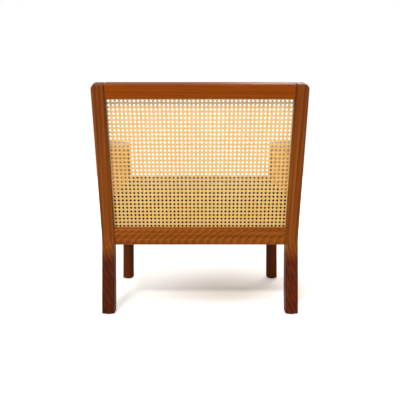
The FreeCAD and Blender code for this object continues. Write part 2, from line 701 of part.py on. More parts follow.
def cane_sheet(name, border, opening):
    """A sheet of cane in the XY plane: a border, and holes wherever one fits inside the opening."""
    edge = [Vector(x, y, 0) for x, y in border]
    clear = Part.Face(Part.makePolygon([Vector(x, y, 0) for x, y in opening + opening[:1]]))
    pitch = value("Sizes.cane_pitch")
    box = clear.BoundBox
    columns, rows = int(box.XLength / pitch), int(box.YLength / pitch)
    holes = []
    for column in range(columns):
        for row in range(rows):
            across = box.Center.x + (column - (columns - 1) / 2) * pitch
            up = box.Center.y + (row - (rows - 1) / 2) * pitch
            hole = eight_sided(across, up)
            if all(clear.isInside(corner.Point, value("Sizes.fit_gap"), False) for corner in hole.Vertexes):
                holes.append(hole)
    wires = Part.Compound([Part.makePolygon(edge + edge[:1])] + holes)
    face = Part.makeFace(wires, "Part::FaceMakerBullseye")
    sheet_of_cane = doc.addObject("Part::Feature", name)
    sheet_of_cane.Label = name
    sheet_of_cane.Shape = face.extrude(Vector(0, 0, value("Sizes.cane_thickness")))
    print(name, "openings in the weave:", len(holes))
    return sheet_of_cane


def make_back_cane():
    border = [tuple(map(value, point)) for point in back_opening("Sizes.cane_bite - Sizes.fit_gap / 2")]
    opening = [tuple(map(value, point)) for point in back_opening("0")]
    cane = cane_sheet("back_cane", border, opening)
    upright = FreeCAD.Rotation(Vector(1, 0, 0), 90 - value("Sizes.back_rake"))
    spot = [value(part) for part in ("Places.rear_face", "Sizes.knee_height")]
    inset = FreeCAD.Rotation(Vector(1, 0, 0), -value("Sizes.back_rake")).multVec(
        Vector(0, -value("Sizes.cane_inset"), 0))
    cane.Placement = FreeCAD.Placement(Vector(0, *spot) + inset, upright)
    return cane


def make_side_cane(name):
    reach = "Sizes.side_slot_depth"
    bite = "Sizes.cane_bite - Sizes.fit_gap / 2"
    border = [tuple(map(value, point)) for point in side_opening(bite, reach)]
    opening = [tuple(map(value, point)) for point in side_opening("0")]
    cane = cane_sheet(name, border, opening)
    on_side = FreeCAD.Rotation(Vector(1, 1, 1), 120)
    cane.Placement = FreeCAD.Placement(Vector(value("Places.side_cane_face"), 0, 0), on_side)
    return cane


def make_back_spline():
    spline = new_body("back_cane_spline")
    ring = outline(
        spline, "ring", "XZ_Plane", back_opening("Places.ledge - Sizes.fit_gap / 2"),
        "Sizes.cane_inset - Sizes.spline_depth", inner=back_opening("Sizes.cane_bite + Sizes.fit_gap / 2"),
    )
    pad(spline, ring, "Sizes.spline_depth + Sizes.cane_thickness + Sizes.spline_rise")
    lean_back(spline)
    return spline


def make_side_spline(name):
    spline = new_body(name)
    away = "Places.side_cane_face - Sizes.spline_rise"
    way = outline(spline, "way", "YZ_Plane", side_spline("Sizes.fit_gap / 2"), away)
    pad(spline, way, "Sizes.spline_rise + Sizes.cane_thickness + Sizes.spline_depth")
    return spline


# Webbing: rubber straps across the chair, each end gripped by a folded steel clip in the rail's groove.
# They lie in the plane of the seat, whose Z is square to the side rails' top.

STRAP_TRAVEL = f"{STRAP_STOP} - Places.strap_start - Sizes.strap_width"


def repeat(body, travel):
    """Repeat the body's last feature along the seat, once for every strap."""
    first = body.Tip
    pattern = body.newObject("PartDesign::LinearPattern", f"{body.Label}_row")
    pattern.Originals = [first]
    pattern.Direction = (origin_feature(body, "Y_Axis"), [""])
    pattern.setExpression("Length", travel)
    pattern.setExpression("Occurrences", "Sizes.strap_count")
    body.Tip = pattern
    doc.recompute()
    return pattern


def lay_on_seat(piece):
    """Lay a piece in the plane of the seat. Its Z starts at the side rails' top."""
    tilt(piece, "Sizes.seat_slope", "Places.rear_face", "Places.rail_line")


def make_straps():
    straps = new_body("webbing_straps")
    straps.AllowCompound = True
    reach = "(Places.inner_side + Sizes.clip_depth - Sizes.clip_wall)"
    strap = outline(straps, "strap", "XY_Plane", rectangle(
        f"-{reach}", reach, "Places.strap_start", "Places.strap_start + Sizes.strap_width",
    ), "-Sizes.strap_drop - Sizes.strap_thickness")
    pad(straps, strap, "Sizes.strap_thickness")
    repeat(straps, STRAP_TRAVEL)
    lay_on_seat(straps)
    return straps


def make_clips(name):
    clips = new_body(name)
    clips.AllowCompound = True
    mouth, back = "Places.inner_side", "Places.inner_side + Sizes.clip_depth"
    inner = f"{back} - Sizes.clip_wall"
    low, high = "-Places.strap_middle - Places.clip_half", "-Places.strap_middle + Places.clip_half"
    section = outline(clips, "section", "XZ_Plane", [
        (mouth, low), (back, low), (back, high), (mouth, high),
        (mouth, f"{high} - Sizes.clip_wall"), (inner, f"{high} - Sizes.clip_wall"),
        (inner, f"{low} + Sizes.clip_wall"), (mouth, f"{low} + Sizes.clip_wall"),
    ], "-Places.strap_start - Sizes.strap_width")
    pad(clips, section, "Sizes.strap_width")
    repeat(clips, STRAP_TRAVEL)
    lay_on_seat(clips)
    return clips


# Foot glides: four like round pads, one nailed under each foot.

def make_glide(name, across, along):
    glide = new_body(name)
    edge = "Sizes.glide_diameter / 2"
    nail = "Sizes.nail_diameter / 2"
    half = outline(glide, "half", "XZ_Plane", [
        ("0", "0"), (f"{edge} - Sizes.glide_edge", "0"), (edge, "Sizes.glide_edge"),
        (edge, "Sizes.glide_height"), (nail, "Sizes.glide_height"),
        (nail, "Sizes.glide_height + Sizes.nail_length"), ("0", "Sizes.glide_height + Sizes.nail_length"),
    ])
    turned = glide.newObject("PartDesign::Revolution", f"{name}_turned")
    turned.Profile = half
    turned.ReferenceAxis = (half, ["V_Axis"])
    turned.Angle = 360
    doc.recompute()
    glide.setExpression(".Placement.Base.x", across)
    glide.setExpression(".Placement.Base.y", along)
    return glide


def make_glides():
    rear = make_glide(
        "rear_glide", "Places.half_width - Sizes.post_width / 2",
        "Places.rear_face - Sizes.post_foot_depth / 2",
    )
    front = make_glide(
        "front_glide", "Places.half_width - Sizes.front_leg_width / 2",
        "Places.leg_back - Sizes.front_leg_depth / 2",
    )
    glides = doc.addObject("Part::Compound", "foot_glides")
    glides.Label = "foot_glides"
    glides.Links = [rear, front, mirror(rear, "rear_glide_right"), mirror(front, "front_glide_right")]
    return glides


# Seat cushion: a slab of foam in a wadded cover with boxed sides. The sides are drawn in between the two
# seams, the edges roll over, and the top rises to a crown. Each level gives a height and how far the outline
# is drawn in there.

CUSHION_LEVELS = [
    ("0", "Sizes.cushion_roll"),
    ("Sizes.cushion_roll * Sizes.roll_share", "Sizes.cushion_roll * Sizes.roll_share"),
    ("Sizes.cushion_roll", "0"),
    ("Sizes.cushion_height / 2", "Sizes.cushion_waist"),
    ("Sizes.cushion_height - Sizes.cushion_roll", "0"),
    ("Sizes.cushion_height - Sizes.cushion_roll * Sizes.roll_share", "Sizes.cushion_roll * Sizes.roll_share"),
    ("Sizes.cushion_height", "Sizes.cushion_roll"),
    ("Sizes.cushion_height + Sizes.cushion_crown * Sizes.crown_rise_share",
     "Sizes.crown_reach * Sizes.crown_reach_share"),
    ("Sizes.cushion_height + Sizes.cushion_crown", "Sizes.crown_reach"),
]


def rounded_outline(body, name, away, inset):
    """The cushion's outline at a height, drawn in on all sides, with its rounded corners."""
    half_width = f"Places.cushion_half - ({inset})"
    half_length = f"Sizes.cushion_length / 2 - ({inset})"
    radius = "Sizes.cushion_corner"
    sketch = new_sketch(body, name, "XY_Plane", away)
    wide, long, bend = value(half_width), value(half_length), value(radius)
    corners = [(wide - bend, long - bend), (bend - wide, long - bend),
               (bend - wide, bend - long), (wide - bend, bend - long)]
    for turn, (across, along) in enumerate(corners):
        start = turn * math.pi / 2
        circle = Part.Circle(Vector(across, along, 0), Vector(0, 0, 1), bend)
        sketch.addGeometry(Part.ArcOfCircle(circle, start, start + math.pi / 2), False)
    for turn in range(4):
        arc, following = sketch.Geometry[turn], sketch.Geometry[(turn + 1) % 4]
        sketch.addGeometry(Part.LineSegment(arc.EndPoint, following.StartPoint), False)
    for turn in range(4):
        sketch.addConstraint(Sketcher.Constraint("Tangent", turn, 2, 4 + turn, 1))
        sketch.addConstraint(Sketcher.Constraint("Tangent", 4 + turn, 2, (turn + 1) % 4, 1))
    for turn in range(1, 4):
        sketch.addConstraint(Sketcher.Constraint("Equal", 0, turn))
    sketch.addConstraint(Sketcher.Constraint("Horizontal", 4))
    sketch.addConstraint(Sketcher.Constraint("Vertical", 5))
    bound = [
        (Sketcher.Constraint("Radius", 0, bend), radius),
        (Sketcher.Constraint("DistanceX", -1, 1, 0, 1, wide), half_width),
        (Sketcher.Constraint("DistanceX", 1, 2, -1, 1, wide), half_width),
        (Sketcher.Constraint("DistanceY", -1, 1, 0, 2, long), half_length),
        (Sketcher.Constraint("DistanceY", 2, 2, -1, 1, long), half_length),
    ]
    for constraint, formula in bound:
        index = sketch.addConstraint(constraint)
        sketch.setExpression(f"Constraints[{index}]", formula)
    doc.recompute()
    return sketch


def make_cushion():
    cover = new_body("seat_cushion_cover")
    sections = []
    for number, (height, inset) in enumerate(CUSHION_LEVELS):
        sections.append(rounded_outline(cover, f"level_{number}", height, inset))
    loft = cover.newObject("PartDesign::AdditiveLoft", "seat_cushion_cover_outside")
    loft.Profile = sections[0]
    loft.Sections = sections[1:]
    loft.Ruled = True
    doc.recompute()
    hollow = rounded_outline(cover, "hollow", "Sizes.wrap_thickness", "Sizes.wrap_thickness")
    cut(cover, hollow, "Sizes.cushion_height - 2 * Sizes.wrap_thickness")

    core = new_body("seat_cushion_core")
    inset = "(Sizes.wrap_thickness + Sizes.core_gap)"
    slab = rounded_outline(core, "slab", inset, inset)
    pad(core, slab, f"Sizes.cushion_height - 2 * {inset}")
    for piece in (cover, core):
        tilt(piece, "Sizes.seat_slope", "Places.cushion_middle", "Places.cushion_foot")
    return [cover, core]


def make_pieces():
    """Every piece of the chair, the left hand first where there are two."""
    pieces = [make_top_rail(), make_rear_rail(), make_front_rail(), make_back_cane(), make_back_spline()]
    handed = [
        (make_post, "rear_post"), (make_front_leg, "front_leg"), (make_arm, "arm"),
        (make_side_rail, "side_rail"), (make_side_cane, "side_cane"), (make_side_spline, "side_cane_spline"),
        (make_clips, "webbing_clips"),
    ]
    for make, name in handed:
        left = make(f"left_{name}")
        pieces += [left, mirror(left, f"right_{name}")]
    return pieces + [make_straps(), make_glides()] + make_cushion()


pieces = make_pieces()
doc.recompute()

# Nothing is written unless every feature was made and every piece is a sound solid.
for item in doc.Objects:
    if "Invalid" in item.State or "Error" in item.State:
        raise RuntimeError(f"{item.Name} was not made: {item.State}")
for piece in pieces:
    if piece.Shape.isNull() or not piece.Shape.isValid():
        raise RuntimeError(f"{piece.Label} is not a sound solid")

os.makedirs("parts", exist_ok=True)
for piece in pieces:
    piece.Shape.exportStep(f"parts/{piece.Label}.step")
    print(f"{piece.Label}: {len(piece.Shape.Solids)} solid, {piece.Shape.Volume / 1000:.1f} cubic cm")
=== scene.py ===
# %% [markdown]
# # A low easy chair in teak and woven cane
#
# This file dresses a chair that was first built as exact solids. The wooden frame, the webbing and the foot
# glides keep the shape they have there and get real finishes here. The cane and the cushion are made again in
# full detail, because thin strands and soft cloth are beyond a rigid solid.
#
# We start by loading the frame.

# %% Load the frame
import math
import random

import bmesh
import bpy
from mathutils import Matrix, Vector
from mathutils.bvhtree import BVHTree


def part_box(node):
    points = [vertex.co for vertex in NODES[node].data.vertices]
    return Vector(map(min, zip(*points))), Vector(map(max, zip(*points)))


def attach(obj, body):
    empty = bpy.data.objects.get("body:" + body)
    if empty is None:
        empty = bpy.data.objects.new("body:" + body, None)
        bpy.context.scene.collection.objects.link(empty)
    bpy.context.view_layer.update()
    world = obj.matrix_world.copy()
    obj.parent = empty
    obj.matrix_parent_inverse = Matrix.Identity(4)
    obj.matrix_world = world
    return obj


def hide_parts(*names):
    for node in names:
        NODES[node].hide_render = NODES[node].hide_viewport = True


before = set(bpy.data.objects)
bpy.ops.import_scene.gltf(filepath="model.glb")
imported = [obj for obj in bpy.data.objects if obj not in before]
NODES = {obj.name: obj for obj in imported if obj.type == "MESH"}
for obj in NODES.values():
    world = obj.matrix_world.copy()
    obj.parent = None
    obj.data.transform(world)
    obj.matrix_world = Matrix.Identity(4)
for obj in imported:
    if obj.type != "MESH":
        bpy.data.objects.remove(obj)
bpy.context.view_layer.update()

# %% [markdown]
# ## Where the main things are
#
# The panels of cane and the cushion lie in planes of their own: the back leans 22 degrees, and the seat rises
# 4.5 degrees to the front. Both angles are those of the solids. The boxes of the frame's pieces give the middles
# of the planes.

# %% The planes of the back and the seat
RAKE = math.radians(22)
SEAT_SLOPE = math.radians(4.5)
UP_THE_BACK = Vector((0, math.sin(RAKE), math.cos(RAKE)))

# %% [markdown]
# ## A small kit for materials
#
# Every finish below is a tree of nodes. To keep each tree readable, a short helper adds a node and sets its
# sockets, and another joins two sockets. All patterns read Object coordinates: they are fixed to the piece, and
# stay the same from any side.

# %% Helpers for node trees
class Nodes:
    """A node tree, with short ways to add and join nodes."""

    def __init__(self, tree):
        self.tree = tree

    def join(self, source, target):
        self.tree.links.new(source, target)

    def feed(self, value, socket):
        """Join a socket to its source, or set it to a plain value."""
        if isinstance(value, bpy.types.NodeSocket):
            self.join(value, socket)
        else:
            socket.default_value = value

    def add(self, kind, settings=(), **sockets):
        node = self.tree.nodes.new(kind)
        for key, value in dict(settings).items():
            setattr(node, key, value)
        for key, value in sockets.items():
            self.feed(value, node.inputs[key.replace("_", " ")])
        return node

    def maths(self, operation, *values):
        node = self.add("ShaderNodeMath", {"operation": operation})
        for socket, value in zip(node.inputs, values):
            self.feed(value, socket)
        return node.outputs[0]


class Tree(Nodes):
    """A material's node tree, with the patterns that the finishes share."""

    def __init__(self, name):
        self.material = bpy.data.materials.new(name)
        self.material.use_nodes = True
        super().__init__(self.material.node_tree)
        self.tree.nodes.clear()
        self.shader = self.add("ShaderNodeBsdfPrincipled")
        self.output = self.add("ShaderNodeOutputMaterial")
        self.join(self.shader.outputs["BSDF"], self.output.inputs["Surface"])
        self.place = self.add("ShaderNodeTexCoord").outputs["Object"]

    def finish(self, **sockets):
        """Feed the shader's sockets, and hand over the material."""
        for key, value in sockets.items():
            self.feed(value, self.shader.inputs[key.replace("_", " ")])
        return self.material

    def turned(self, turn=(0, 0, 0), scale=(1, 1, 1), shift=(0, 0, 0), source=None):
        node = self.add("ShaderNodeMapping", Location=shift, Rotation=turn, Scale=scale)
        self.join(source or self.place, node.inputs["Vector"])
        return node.outputs["Vector"]

    def noise(self, vector, scale, detail=3.0, roughness=0.5, distortion=0.0):
        node = self.add(
            "ShaderNodeTexNoise", Vector=vector, Scale=scale, Detail=detail, Roughness=roughness,
            Distortion=distortion,
        )
        return node.outputs["Fac"]

    def ramp(self, factor, stops):
        node = self.add("ShaderNodeValToRGB", Fac=factor)
        ramp = node.color_ramp
        while len(ramp.elements) < len(stops):
            ramp.elements.new(1.0)
        for element, (position, colour) in zip(ramp.elements, stops):
            element.position = position
            element.color = (*colour, 1.0)
        return node.outputs["Color"]

    def level(self, factor, low, high, to_low=0.0, to_high=1.0):
        node = self.add("ShaderNodeMapRange", Value=factor, From_Min=low, From_Max=high, To_Min=to_low, To_Max=to_high)
        return node.outputs["Result"]

    def mix(self, factor, first, second, blend="MIX"):
        node = self.add("ShaderNodeMix", {"data_type": "RGBA", "blend_type": blend})
        for socket, value in ((node.inputs["Factor"], factor), (node.inputs[6], first), (node.inputs[7], second)):
            self.feed((*value, 1.0) if isinstance(value, tuple) else value, socket)
        return node.outputs[2]

    def bump(self, height, strength, distance):
        return self.add("ShaderNodeBump", Height=height, Strength=strength, Distance=distance).outputs["Normal"]


# %% [markdown]
# ## Teak
#
# Each stick of such a frame is sawn from its own board, so each gets its own cut through the wood. Growth rings
# are cylinders round the tree's heart. A board is a plane through them: far from the heart they show as straight
# lines, and near it as the tall arches called cathedrals. So the pattern is made in the same way: the distance
# from a heart line that runs nearly along the piece, waved by noise, gives the rings. Stretched noise adds the
# fibre, short dark pores break the surface, and a slow noise lets the colour wander.
#
# The tones, and how far the wood darkens near the floor and at the posts' tops, were set by trial until the mean
# colours came near to the photo's. The darkening near the floor is painted shade. The tones set each piece's
# colour, and the posts are made darker towards their tops.

# %% The teak finish
TEAK_DARK = (0.105, 0.022, 0.0015)
TEAK_MIDDLE = (0.200, 0.048, 0.0035)
TEAK_LIGHT = (0.310, 0.082, 0.0060)
FOOT_SHADE_FADE = (0.205, 0.255)
HEAD_FADE = (0.52, 0.68)


def teak(name, turn, heart, rings, tone, tilt=(0.02, 0.0), contrast=1.0, foot=None, head=None, gloss=0.08):
    """Teak whose grain runs along X after a turn; heart is the heart line's place across the grain.

    foot and head are the shares of its colour that a piece keeps below FOOT_SHADE_FADE and above HEAD_FADE, two ranges
    of height in metres. gloss is low on the rails and high on the arms, set by trial like the tones.
    """
    tree = Tree(name)
    along = tree.turned(turn=turn)
    leaned = tree.turned(turn=(0, tilt[0], tilt[1]), source=along)
    parts = tree.add("ShaderNodeSeparateXYZ", Vector=leaned)
    wander = tree.noise(tree.turned(scale=(1.6, 14, 14), source=along), 1.0, 2.0)
    drift = tree.maths("MULTIPLY", tree.maths("SUBTRACT", wander, 0.5), 0.022)
    off_y = tree.maths("ADD", tree.maths("SUBTRACT", parts.outputs["Y"], heart[0]), drift)
    off_z = tree.maths("ADD", tree.maths("SUBTRACT", parts.outputs["Z"], heart[1]), drift)
    across = tree.maths("SQRT", tree.maths(
        "ADD", tree.maths("MULTIPLY", off_y, off_y), tree.maths("MULTIPLY", off_z, off_z)))
    count = tree.maths("MULTIPLY", across, rings)
    unsteady = tree.noise(tree.turned(scale=(2.0, 60, 60), source=along), 1.0, 3.0, 0.6)
    ring = tree.maths("FRACT", tree.maths("ADD", count, tree.maths("MULTIPLY", unsteady, 0.9)))
    late_wood = tree.maths("POWER", ring, 2.2)
    fibre = tree.noise(tree.turned(scale=(9, 620, 620), source=along), 1.0, 3.0, 0.65)
    bands = tree.noise(tree.turned(scale=(1.2, 90, 90), source=along), 1.0, 2.0, 0.5)
    amount = tree.maths("ADD", tree.maths("MULTIPLY", late_wood, 0.42 * contrast),
                        tree.maths("MULTIPLY", fibre, 0.38))
    amount = tree.maths("ADD", amount, tree.maths("MULTIPLY", tree.maths("SUBTRACT", bands, 0.5), 0.9 * contrast))
    stops = [(0.08, TEAK_LIGHT), (0.42, TEAK_MIDDLE), (0.85, TEAK_DARK)]
    colour = tree.ramp(amount, [
        (place, tuple(part * share for part, share in zip(shade, tone))) for place, shade in stops])
    pores = tree.noise(tree.turned(scale=(42, 1900, 1900), source=along), 1.0, 1.0, 0.4)
    pore = tree.level(pores, 0.63, 0.72)
    colour = tree.mix(tree.maths("MULTIPLY", pore, 0.55), colour, tuple(part * 0.45 for part in TEAK_DARK))
    if foot or head:
        height_up = tree.add("ShaderNodeSeparateXYZ", Vector=tree.place).outputs["Z"]
        height_up = tree.maths("ADD", height_up, tree.maths("MULTIPLY", bands, 0.05))
    # Painted shade: the wood is darkened low down, towards the floor.
    if foot:
        colour = tree.mix(tree.level(height_up, *FOOT_SHADE_FADE), tree.mix(1.0, colour, foot, "MULTIPLY"), colour)
    # The wood is made darker towards the top of the posts.
    if head:
        colour = tree.mix(tree.level(height_up, *HEAD_FADE), colour, tree.mix(1.0, colour, head, "MULTIPLY"))
    rough = 0.30 if gloss < 0.2 else 0.20
    polish = tree.level(fibre, 0.3, 0.7, rough, rough + 0.14)
    height = tree.maths("SUBTRACT", tree.maths("MULTIPLY", fibre, 0.35), pore)
    return tree.finish(Base_Color=colour, Roughness=tree.maths("ADD", polish, tree.maths("MULTIPLY", pore, 0.2)),
                       Normal=tree.bump(height, 0.35, 0.00025), Specular_IOR_Level=gloss)


def dress(mesh, material):
    mesh.materials.clear()
    mesh.materials.append(material)


def give(node, material):
    """Put a finish on a piece of the frame."""
    dress(NODES[node].data, material)


UPRIGHT = (0, math.radians(90), 0)
ALONG_THE_LEAN = (RAKE, math.radians(90), 0)
FORE_AND_AFT = (0, 0, math.radians(90))
ACROSS = (0, 0, 0)
POST_TONE = (0.66, 0.64, 0.53)
POST_HEAD = (0.80, 0.72, 0.65)
RAIL_TONE = (0.90, 0.92, 0.80)
REAR_TONE = (0.83, 0.85, 0.74)
TOP_TONE = (0.67, 0.51, 0.02)

TEAK_PIECES = [
    # node, name of the finish, direction of the grain, heart line, rings per metre, tone, the rest
    # The foot shares below are painted shade near the floor.
    ("left_rear_post", "teak_left_post", ALONG_THE_LEAN, (-0.02, -0.20), 90, POST_TONE,
     {"foot": (0.35, 0.21, 0.07), "head": POST_HEAD}),
    ("right_rear_post", "teak_right_post", ALONG_THE_LEAN, (-0.01, 0.44), 90, POST_TONE,
     {"foot": (0.46, 0.26, 0.08), "head": POST_HEAD}),
    ("left_front_leg", "teak_left_leg", UPRIGHT, (-0.25, 0.45), 110, POST_TONE, {"foot": (0.57, 0.45, 0.22)}),
    ("right_front_leg", "teak_right_leg", UPRIGHT, (-0.30, -0.44), 110, POST_TONE, {"foot": (0.62, 0.45, 0.15)}),
    ("left_arm", "teak_left_arm", FORE_AND_AFT, (0.15, 0.50), 100, RAIL_TONE, {"gloss": 0.8}),
    ("right_arm", "teak_right_arm", FORE_AND_AFT, (0.10, 0.52), 100, RAIL_TONE, {"gloss": 0.8}),
    ("left_side_rail", "teak_left_rail", FORE_AND_AFT, (0.10, 0.23), 100, RAIL_TONE, {}),
    ("right_side_rail", "teak_right_rail", FORE_AND_AFT, (0.14, 0.22), 100, RAIL_TONE, {}),
    ("top_rail", "teak_top_rail", ACROSS, (0.30, 0.62), 90, TOP_TONE, {"contrast": 0.5, "gloss": 0.05}),
    ("rear_seat_rail", "teak_rear_rail", ACROSS, (0.02, 0.262), 115, REAR_TONE, {"tilt": (0.02, 0.35)}),
    ("front_seat_rail", "teak_front_rail", ACROSS, (-0.34, 0.25), 110, RAIL_TONE, {"tilt": (0.04, 0.02)}),
]
for node, name, turn, heart, rings, tone, rest in TEAK_PIECES:
    give(node, teak(name, turn, heart, rings, tone, **rest))
print("teak finishes", len([m for m in bpy.data.materials if m.name.startswith("teak")]))

# %% [markdown]
# ## Rubber webbing, steel clips and glides
#
# The webbing is rubber between two layers of fabric, and its fine diagonal cords show on the surface. The clips
# are folded from brushed steel. The glides are plain dark plastic. Of these, the photo shows only the glides.

# %% The small finishes
def webbing_finish():
    tree = Tree("webbing_rubber")
    cords = tree.add("ShaderNodeTexWave", {"wave_type": "BANDS", "bands_direction": "DIAGONAL"},
                     Vector=tree.turned(scale=(1, 1, 0)), Scale=420.0, Distortion=0.4, Detail=1.0)
    patches = tree.noise(tree.place, 30.0, 4.0)
    shade = tree.maths("ADD", tree.maths("MULTIPLY", cords.outputs["Fac"], 0.4), tree.maths("MULTIPLY", patches, 0.6))
    return tree.finish(
        Base_Color=tree.ramp(shade, [(0.2, (0.010, 0.009, 0.008)), (0.8, (0.045, 0.040, 0.034))]),
        Roughness=tree.level(patches, 0.3, 0.7, 0.62, 0.85), Normal=tree.bump(cords.outputs["Fac"], 0.5, 0.0004))


def steel_finish():
    tree = Tree("clip_steel")
    brushed = tree.noise(tree.turned(scale=(900, 12, 900)), 1.0, 2.0)
    return tree.finish(
        Base_Color=tree.ramp(brushed, [(0.2, (0.42, 0.42, 0.41)), (0.8, (0.62, 0.62, 0.60))]),
        Metallic=1.0, Roughness=tree.level(brushed, 0.3, 0.7, 0.28, 0.42))


def glide_finish():
    tree = Tree("glide_plastic")
    speckle = tree.noise(tree.place, 900.0, 2.0)
    scuffs = tree.noise(tree.place, 120.0, 4.0, 0.7)
    return tree.finish(
        Base_Color=tree.ramp(scuffs, [(0.35, (0.012, 0.010, 0.009)), (0.75, (0.040, 0.034, 0.030))]),
        Roughness=tree.level(scuffs, 0.3, 0.7, 0.42, 0.65), Normal=tree.bump(speckle, 0.2, 0.0002))


give("webbing_straps", webbing_finish())
clip_material = steel_finish()
give("left_webbing_clips", clip_material)
give("right_webbing_clips", clip_material)
give("foot_glides", glide_finish())

# %% [markdown]
# ## The cane's finish
#
# Cane is the peeled skin of the rattan vine. Its outer side is smooth and slightly glossy, straw yellow when new
# and honey coloured after some decades. Fine fibres run along each strand, dark flecks mark the vine's joints,
# and no two strands have quite the same tone. The strands that are made below carry an attribute called grain:
# metres along the strand, the share of the way round it, and a number of the strand's own.
#
# A strand here is 0.7 mm thick and lets some light through, more of it at the sides. The photo shows the weave
# paler before white than before the cushion. How much light comes through was set by trial to match that, and so
# were the colours; neither was measured on real cane.

# %% The cane finish
CANE_DEEP = (0.62, 0.33, 0.085)
CANE_HONEY = (0.735, 0.475, 0.16)
CANE_STRAW = (0.78, 0.61, 0.285)
PITH_AND_PAINTED_GLOW = (0.90, 0.40, 0.15)
FLECK = (0.30, 0.12, 0.03)
THROUGH = (1.0, 0.62, 0.12)
THROUGH_BACK, THROUGH_SIDES = 0.105, 0.45


def cane_finish(name, inward=0):
    """Cane; where inward is +1 or -1, the strands' pith side faces that way along X: more orange, partly painted light
    shining through.
    """
    tree = Tree(name)
    grain = tree.add("ShaderNodeAttribute", {"attribute_name": "grain"}).outputs["Vector"]
    parts = tree.add("ShaderNodeSeparateXYZ", Vector=grain)
    fibre = tree.noise(tree.turned(scale=(14, 9, 1), source=grain), 1.0, 3.0, 0.6)
    patches = tree.noise(tree.place, 5.0, 3.0, 0.55)
    own = tree.add("ShaderNodeTexWhiteNoise", {"noise_dimensions": "1D"}, W=parts.outputs["Z"]).outputs["Value"]
    tone = tree.maths("ADD", tree.maths("MULTIPLY", fibre, 0.55), tree.maths("MULTIPLY", patches, 0.20))
    tone = tree.maths("ADD", tone, tree.maths("MULTIPLY", own, 0.25))
    colour = tree.ramp(tone, [(0.25, CANE_DEEP), (0.50, CANE_HONEY), (0.75, CANE_STRAW)])
    flecks = tree.noise(tree.turned(scale=(260, 2, 1), source=grain), 1.0, 2.0, 0.5)
    fleck = tree.level(flecks, 0.70, 0.78)
    colour = tree.mix(tree.maths("MULTIPLY", fleck, 0.6), colour, FLECK)
    # Painted light: the pith side's bright orange stands partly for light shining through the strands from outside.
    if inward:
        facing = tree.add("ShaderNodeTexCoord").outputs["Normal"]
        facing = tree.add("ShaderNodeSeparateXYZ", Vector=facing).outputs["X"]
        colour = tree.mix(tree.level(tree.maths("MULTIPLY", facing, inward), -0.5, 0.3), colour, PITH_AND_PAINTED_GLOW)
    glowing = tree.add("ShaderNodeBsdfTranslucent", Color=tree.mix(0.5, colour, THROUGH))
    thin = tree.add("ShaderNodeMixShader", Fac=THROUGH_SIDES if inward else THROUGH_BACK)
    tree.join(tree.shader.outputs["BSDF"], thin.inputs[1])
    tree.join(glowing.outputs["BSDF"], thin.inputs[2])
    tree.join(thin.outputs["Shader"], tree.output.inputs["Surface"])
    rough = 0.60 if inward else 0.34
    return tree.finish(Base_Color=colour, Roughness=tree.level(fibre, 0.3, 0.7, rough, rough + 0.18),
                       Normal=tree.bump(fibre, 0.3, 0.0001), Specular_IOR_Level=0.06 if inward else 0.25)


def reed_finish(name, turn):
    """The round reed that wedges the cane in: matt fibres along it, and darker where glue and dirt sit."""
    tree = Tree(name)
    along = tree.turned(turn=turn)
    fibre = tree.noise(tree.turned(scale=(20, 900, 900), source=along), 1.0, 3.0, 0.6)
    stains = tree.noise(tree.place, 22.0, 4.0, 0.6)
    tone = tree.maths("ADD", tree.maths("MULTIPLY", fibre, 0.5), tree.maths("MULTIPLY", stains, 0.5))
    return tree.finish(
        Base_Color=tree.ramp(tone, [(0.3, (0.26, 0.11, 0.025)), (0.5, (0.48, 0.25, 0.075)), (0.7, (0.66, 0.38, 0.13))]),
        Roughness=tree.level(fibre, 0.3, 0.7, 0.55, 0.75), Normal=tree.bump(fibre, 0.4, 0.0002))


back_finish = cane_finish("cane_back")
side_finishes = {"left_side_cane": cane_finish("cane_left", -1), "right_side_cane": cane_finish("cane_right", 1)}
give("back_cane_spline", reed_finish("reed_back", ACROSS))
give("left_side_cane_spline", reed_finish("reed_left", FORE_AND_AFT))
give("right_side_cane_spline", reed_finish("reed_right", FORE_AND_AFT))

# %% [markdown]
# ## The weave
#
# The usual chair cane is a six-way weave. Pairs of strands run up and across, and between the pairs single strands
# run along both diagonals. The diagonals cut the corners off the square holes, which leaves eight-sided ones, and
# the strands go over and under each other.
#
# A real panel is woven in one go by a loom, so here it follows one rule too. First we find the outline of the
# panel in its own plane, and cut straight lines to it: that is the plan of the strands. Then a node tree turns
# each line into a strand. It lifts the line in even waves and sweeps a flat section along it. The waves of the
# pairs have their nodes where the diagonals cross, and the waves of the diagonals have their tops there, to keep
# the strands apart. Whether they clear each other everywhere wasn't measured.

# %% The plan of the strands
CELL = 0.01309
BACK_CELL = (CELL, 0.01372)
HALF_PAIR = 0.00135
PANEL_LAP = 0.005
STRAND_WIDTH = 0.0024
STRAND_THICKNESS = 0.0007
PAIR_SWING = 0.00055
DIAGONAL_SWING = 0.00075
MOST_CELLS = 90


def panel_plane(node, across, up):
    """The plane of a flat panel: from its own two directions to the chair, with its middle at the origin."""
    low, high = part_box(node)
    middle = (Vector(low) + Vector(high)) / 2
    across, up = Vector(across), Vector(up)
    facing = across.cross(up)
    return Matrix((
        (across.x, up.x, facing.x, middle.x),
        (across.y, up.y, facing.y, middle.y),
        (across.z, up.z, facing.z, middle.z),
        (0, 0, 0, 1),
    ))


def panel_outline(node, plane):
    """The convex outline of a panel in its own plane, turning to the left."""
    inverse = plane.inverted()
    spots = sorted({(round(p.x, 5), round(p.y, 5)) for p in (inverse @ v.co for v in NODES[node].data.vertices)})

    def half(points):
        chain = []
        for spot in points:
            while len(chain) > 1 and ((chain[-1][0] - chain[-2][0]) * (spot[1] - chain[-2][1])
                                      - (chain[-1][1] - chain[-2][1]) * (spot[0] - chain[-2][0])) <= 0:
                chain.pop()
            chain.append(spot)
        return chain[:-1]

    return half(spots) + half(spots[::-1])


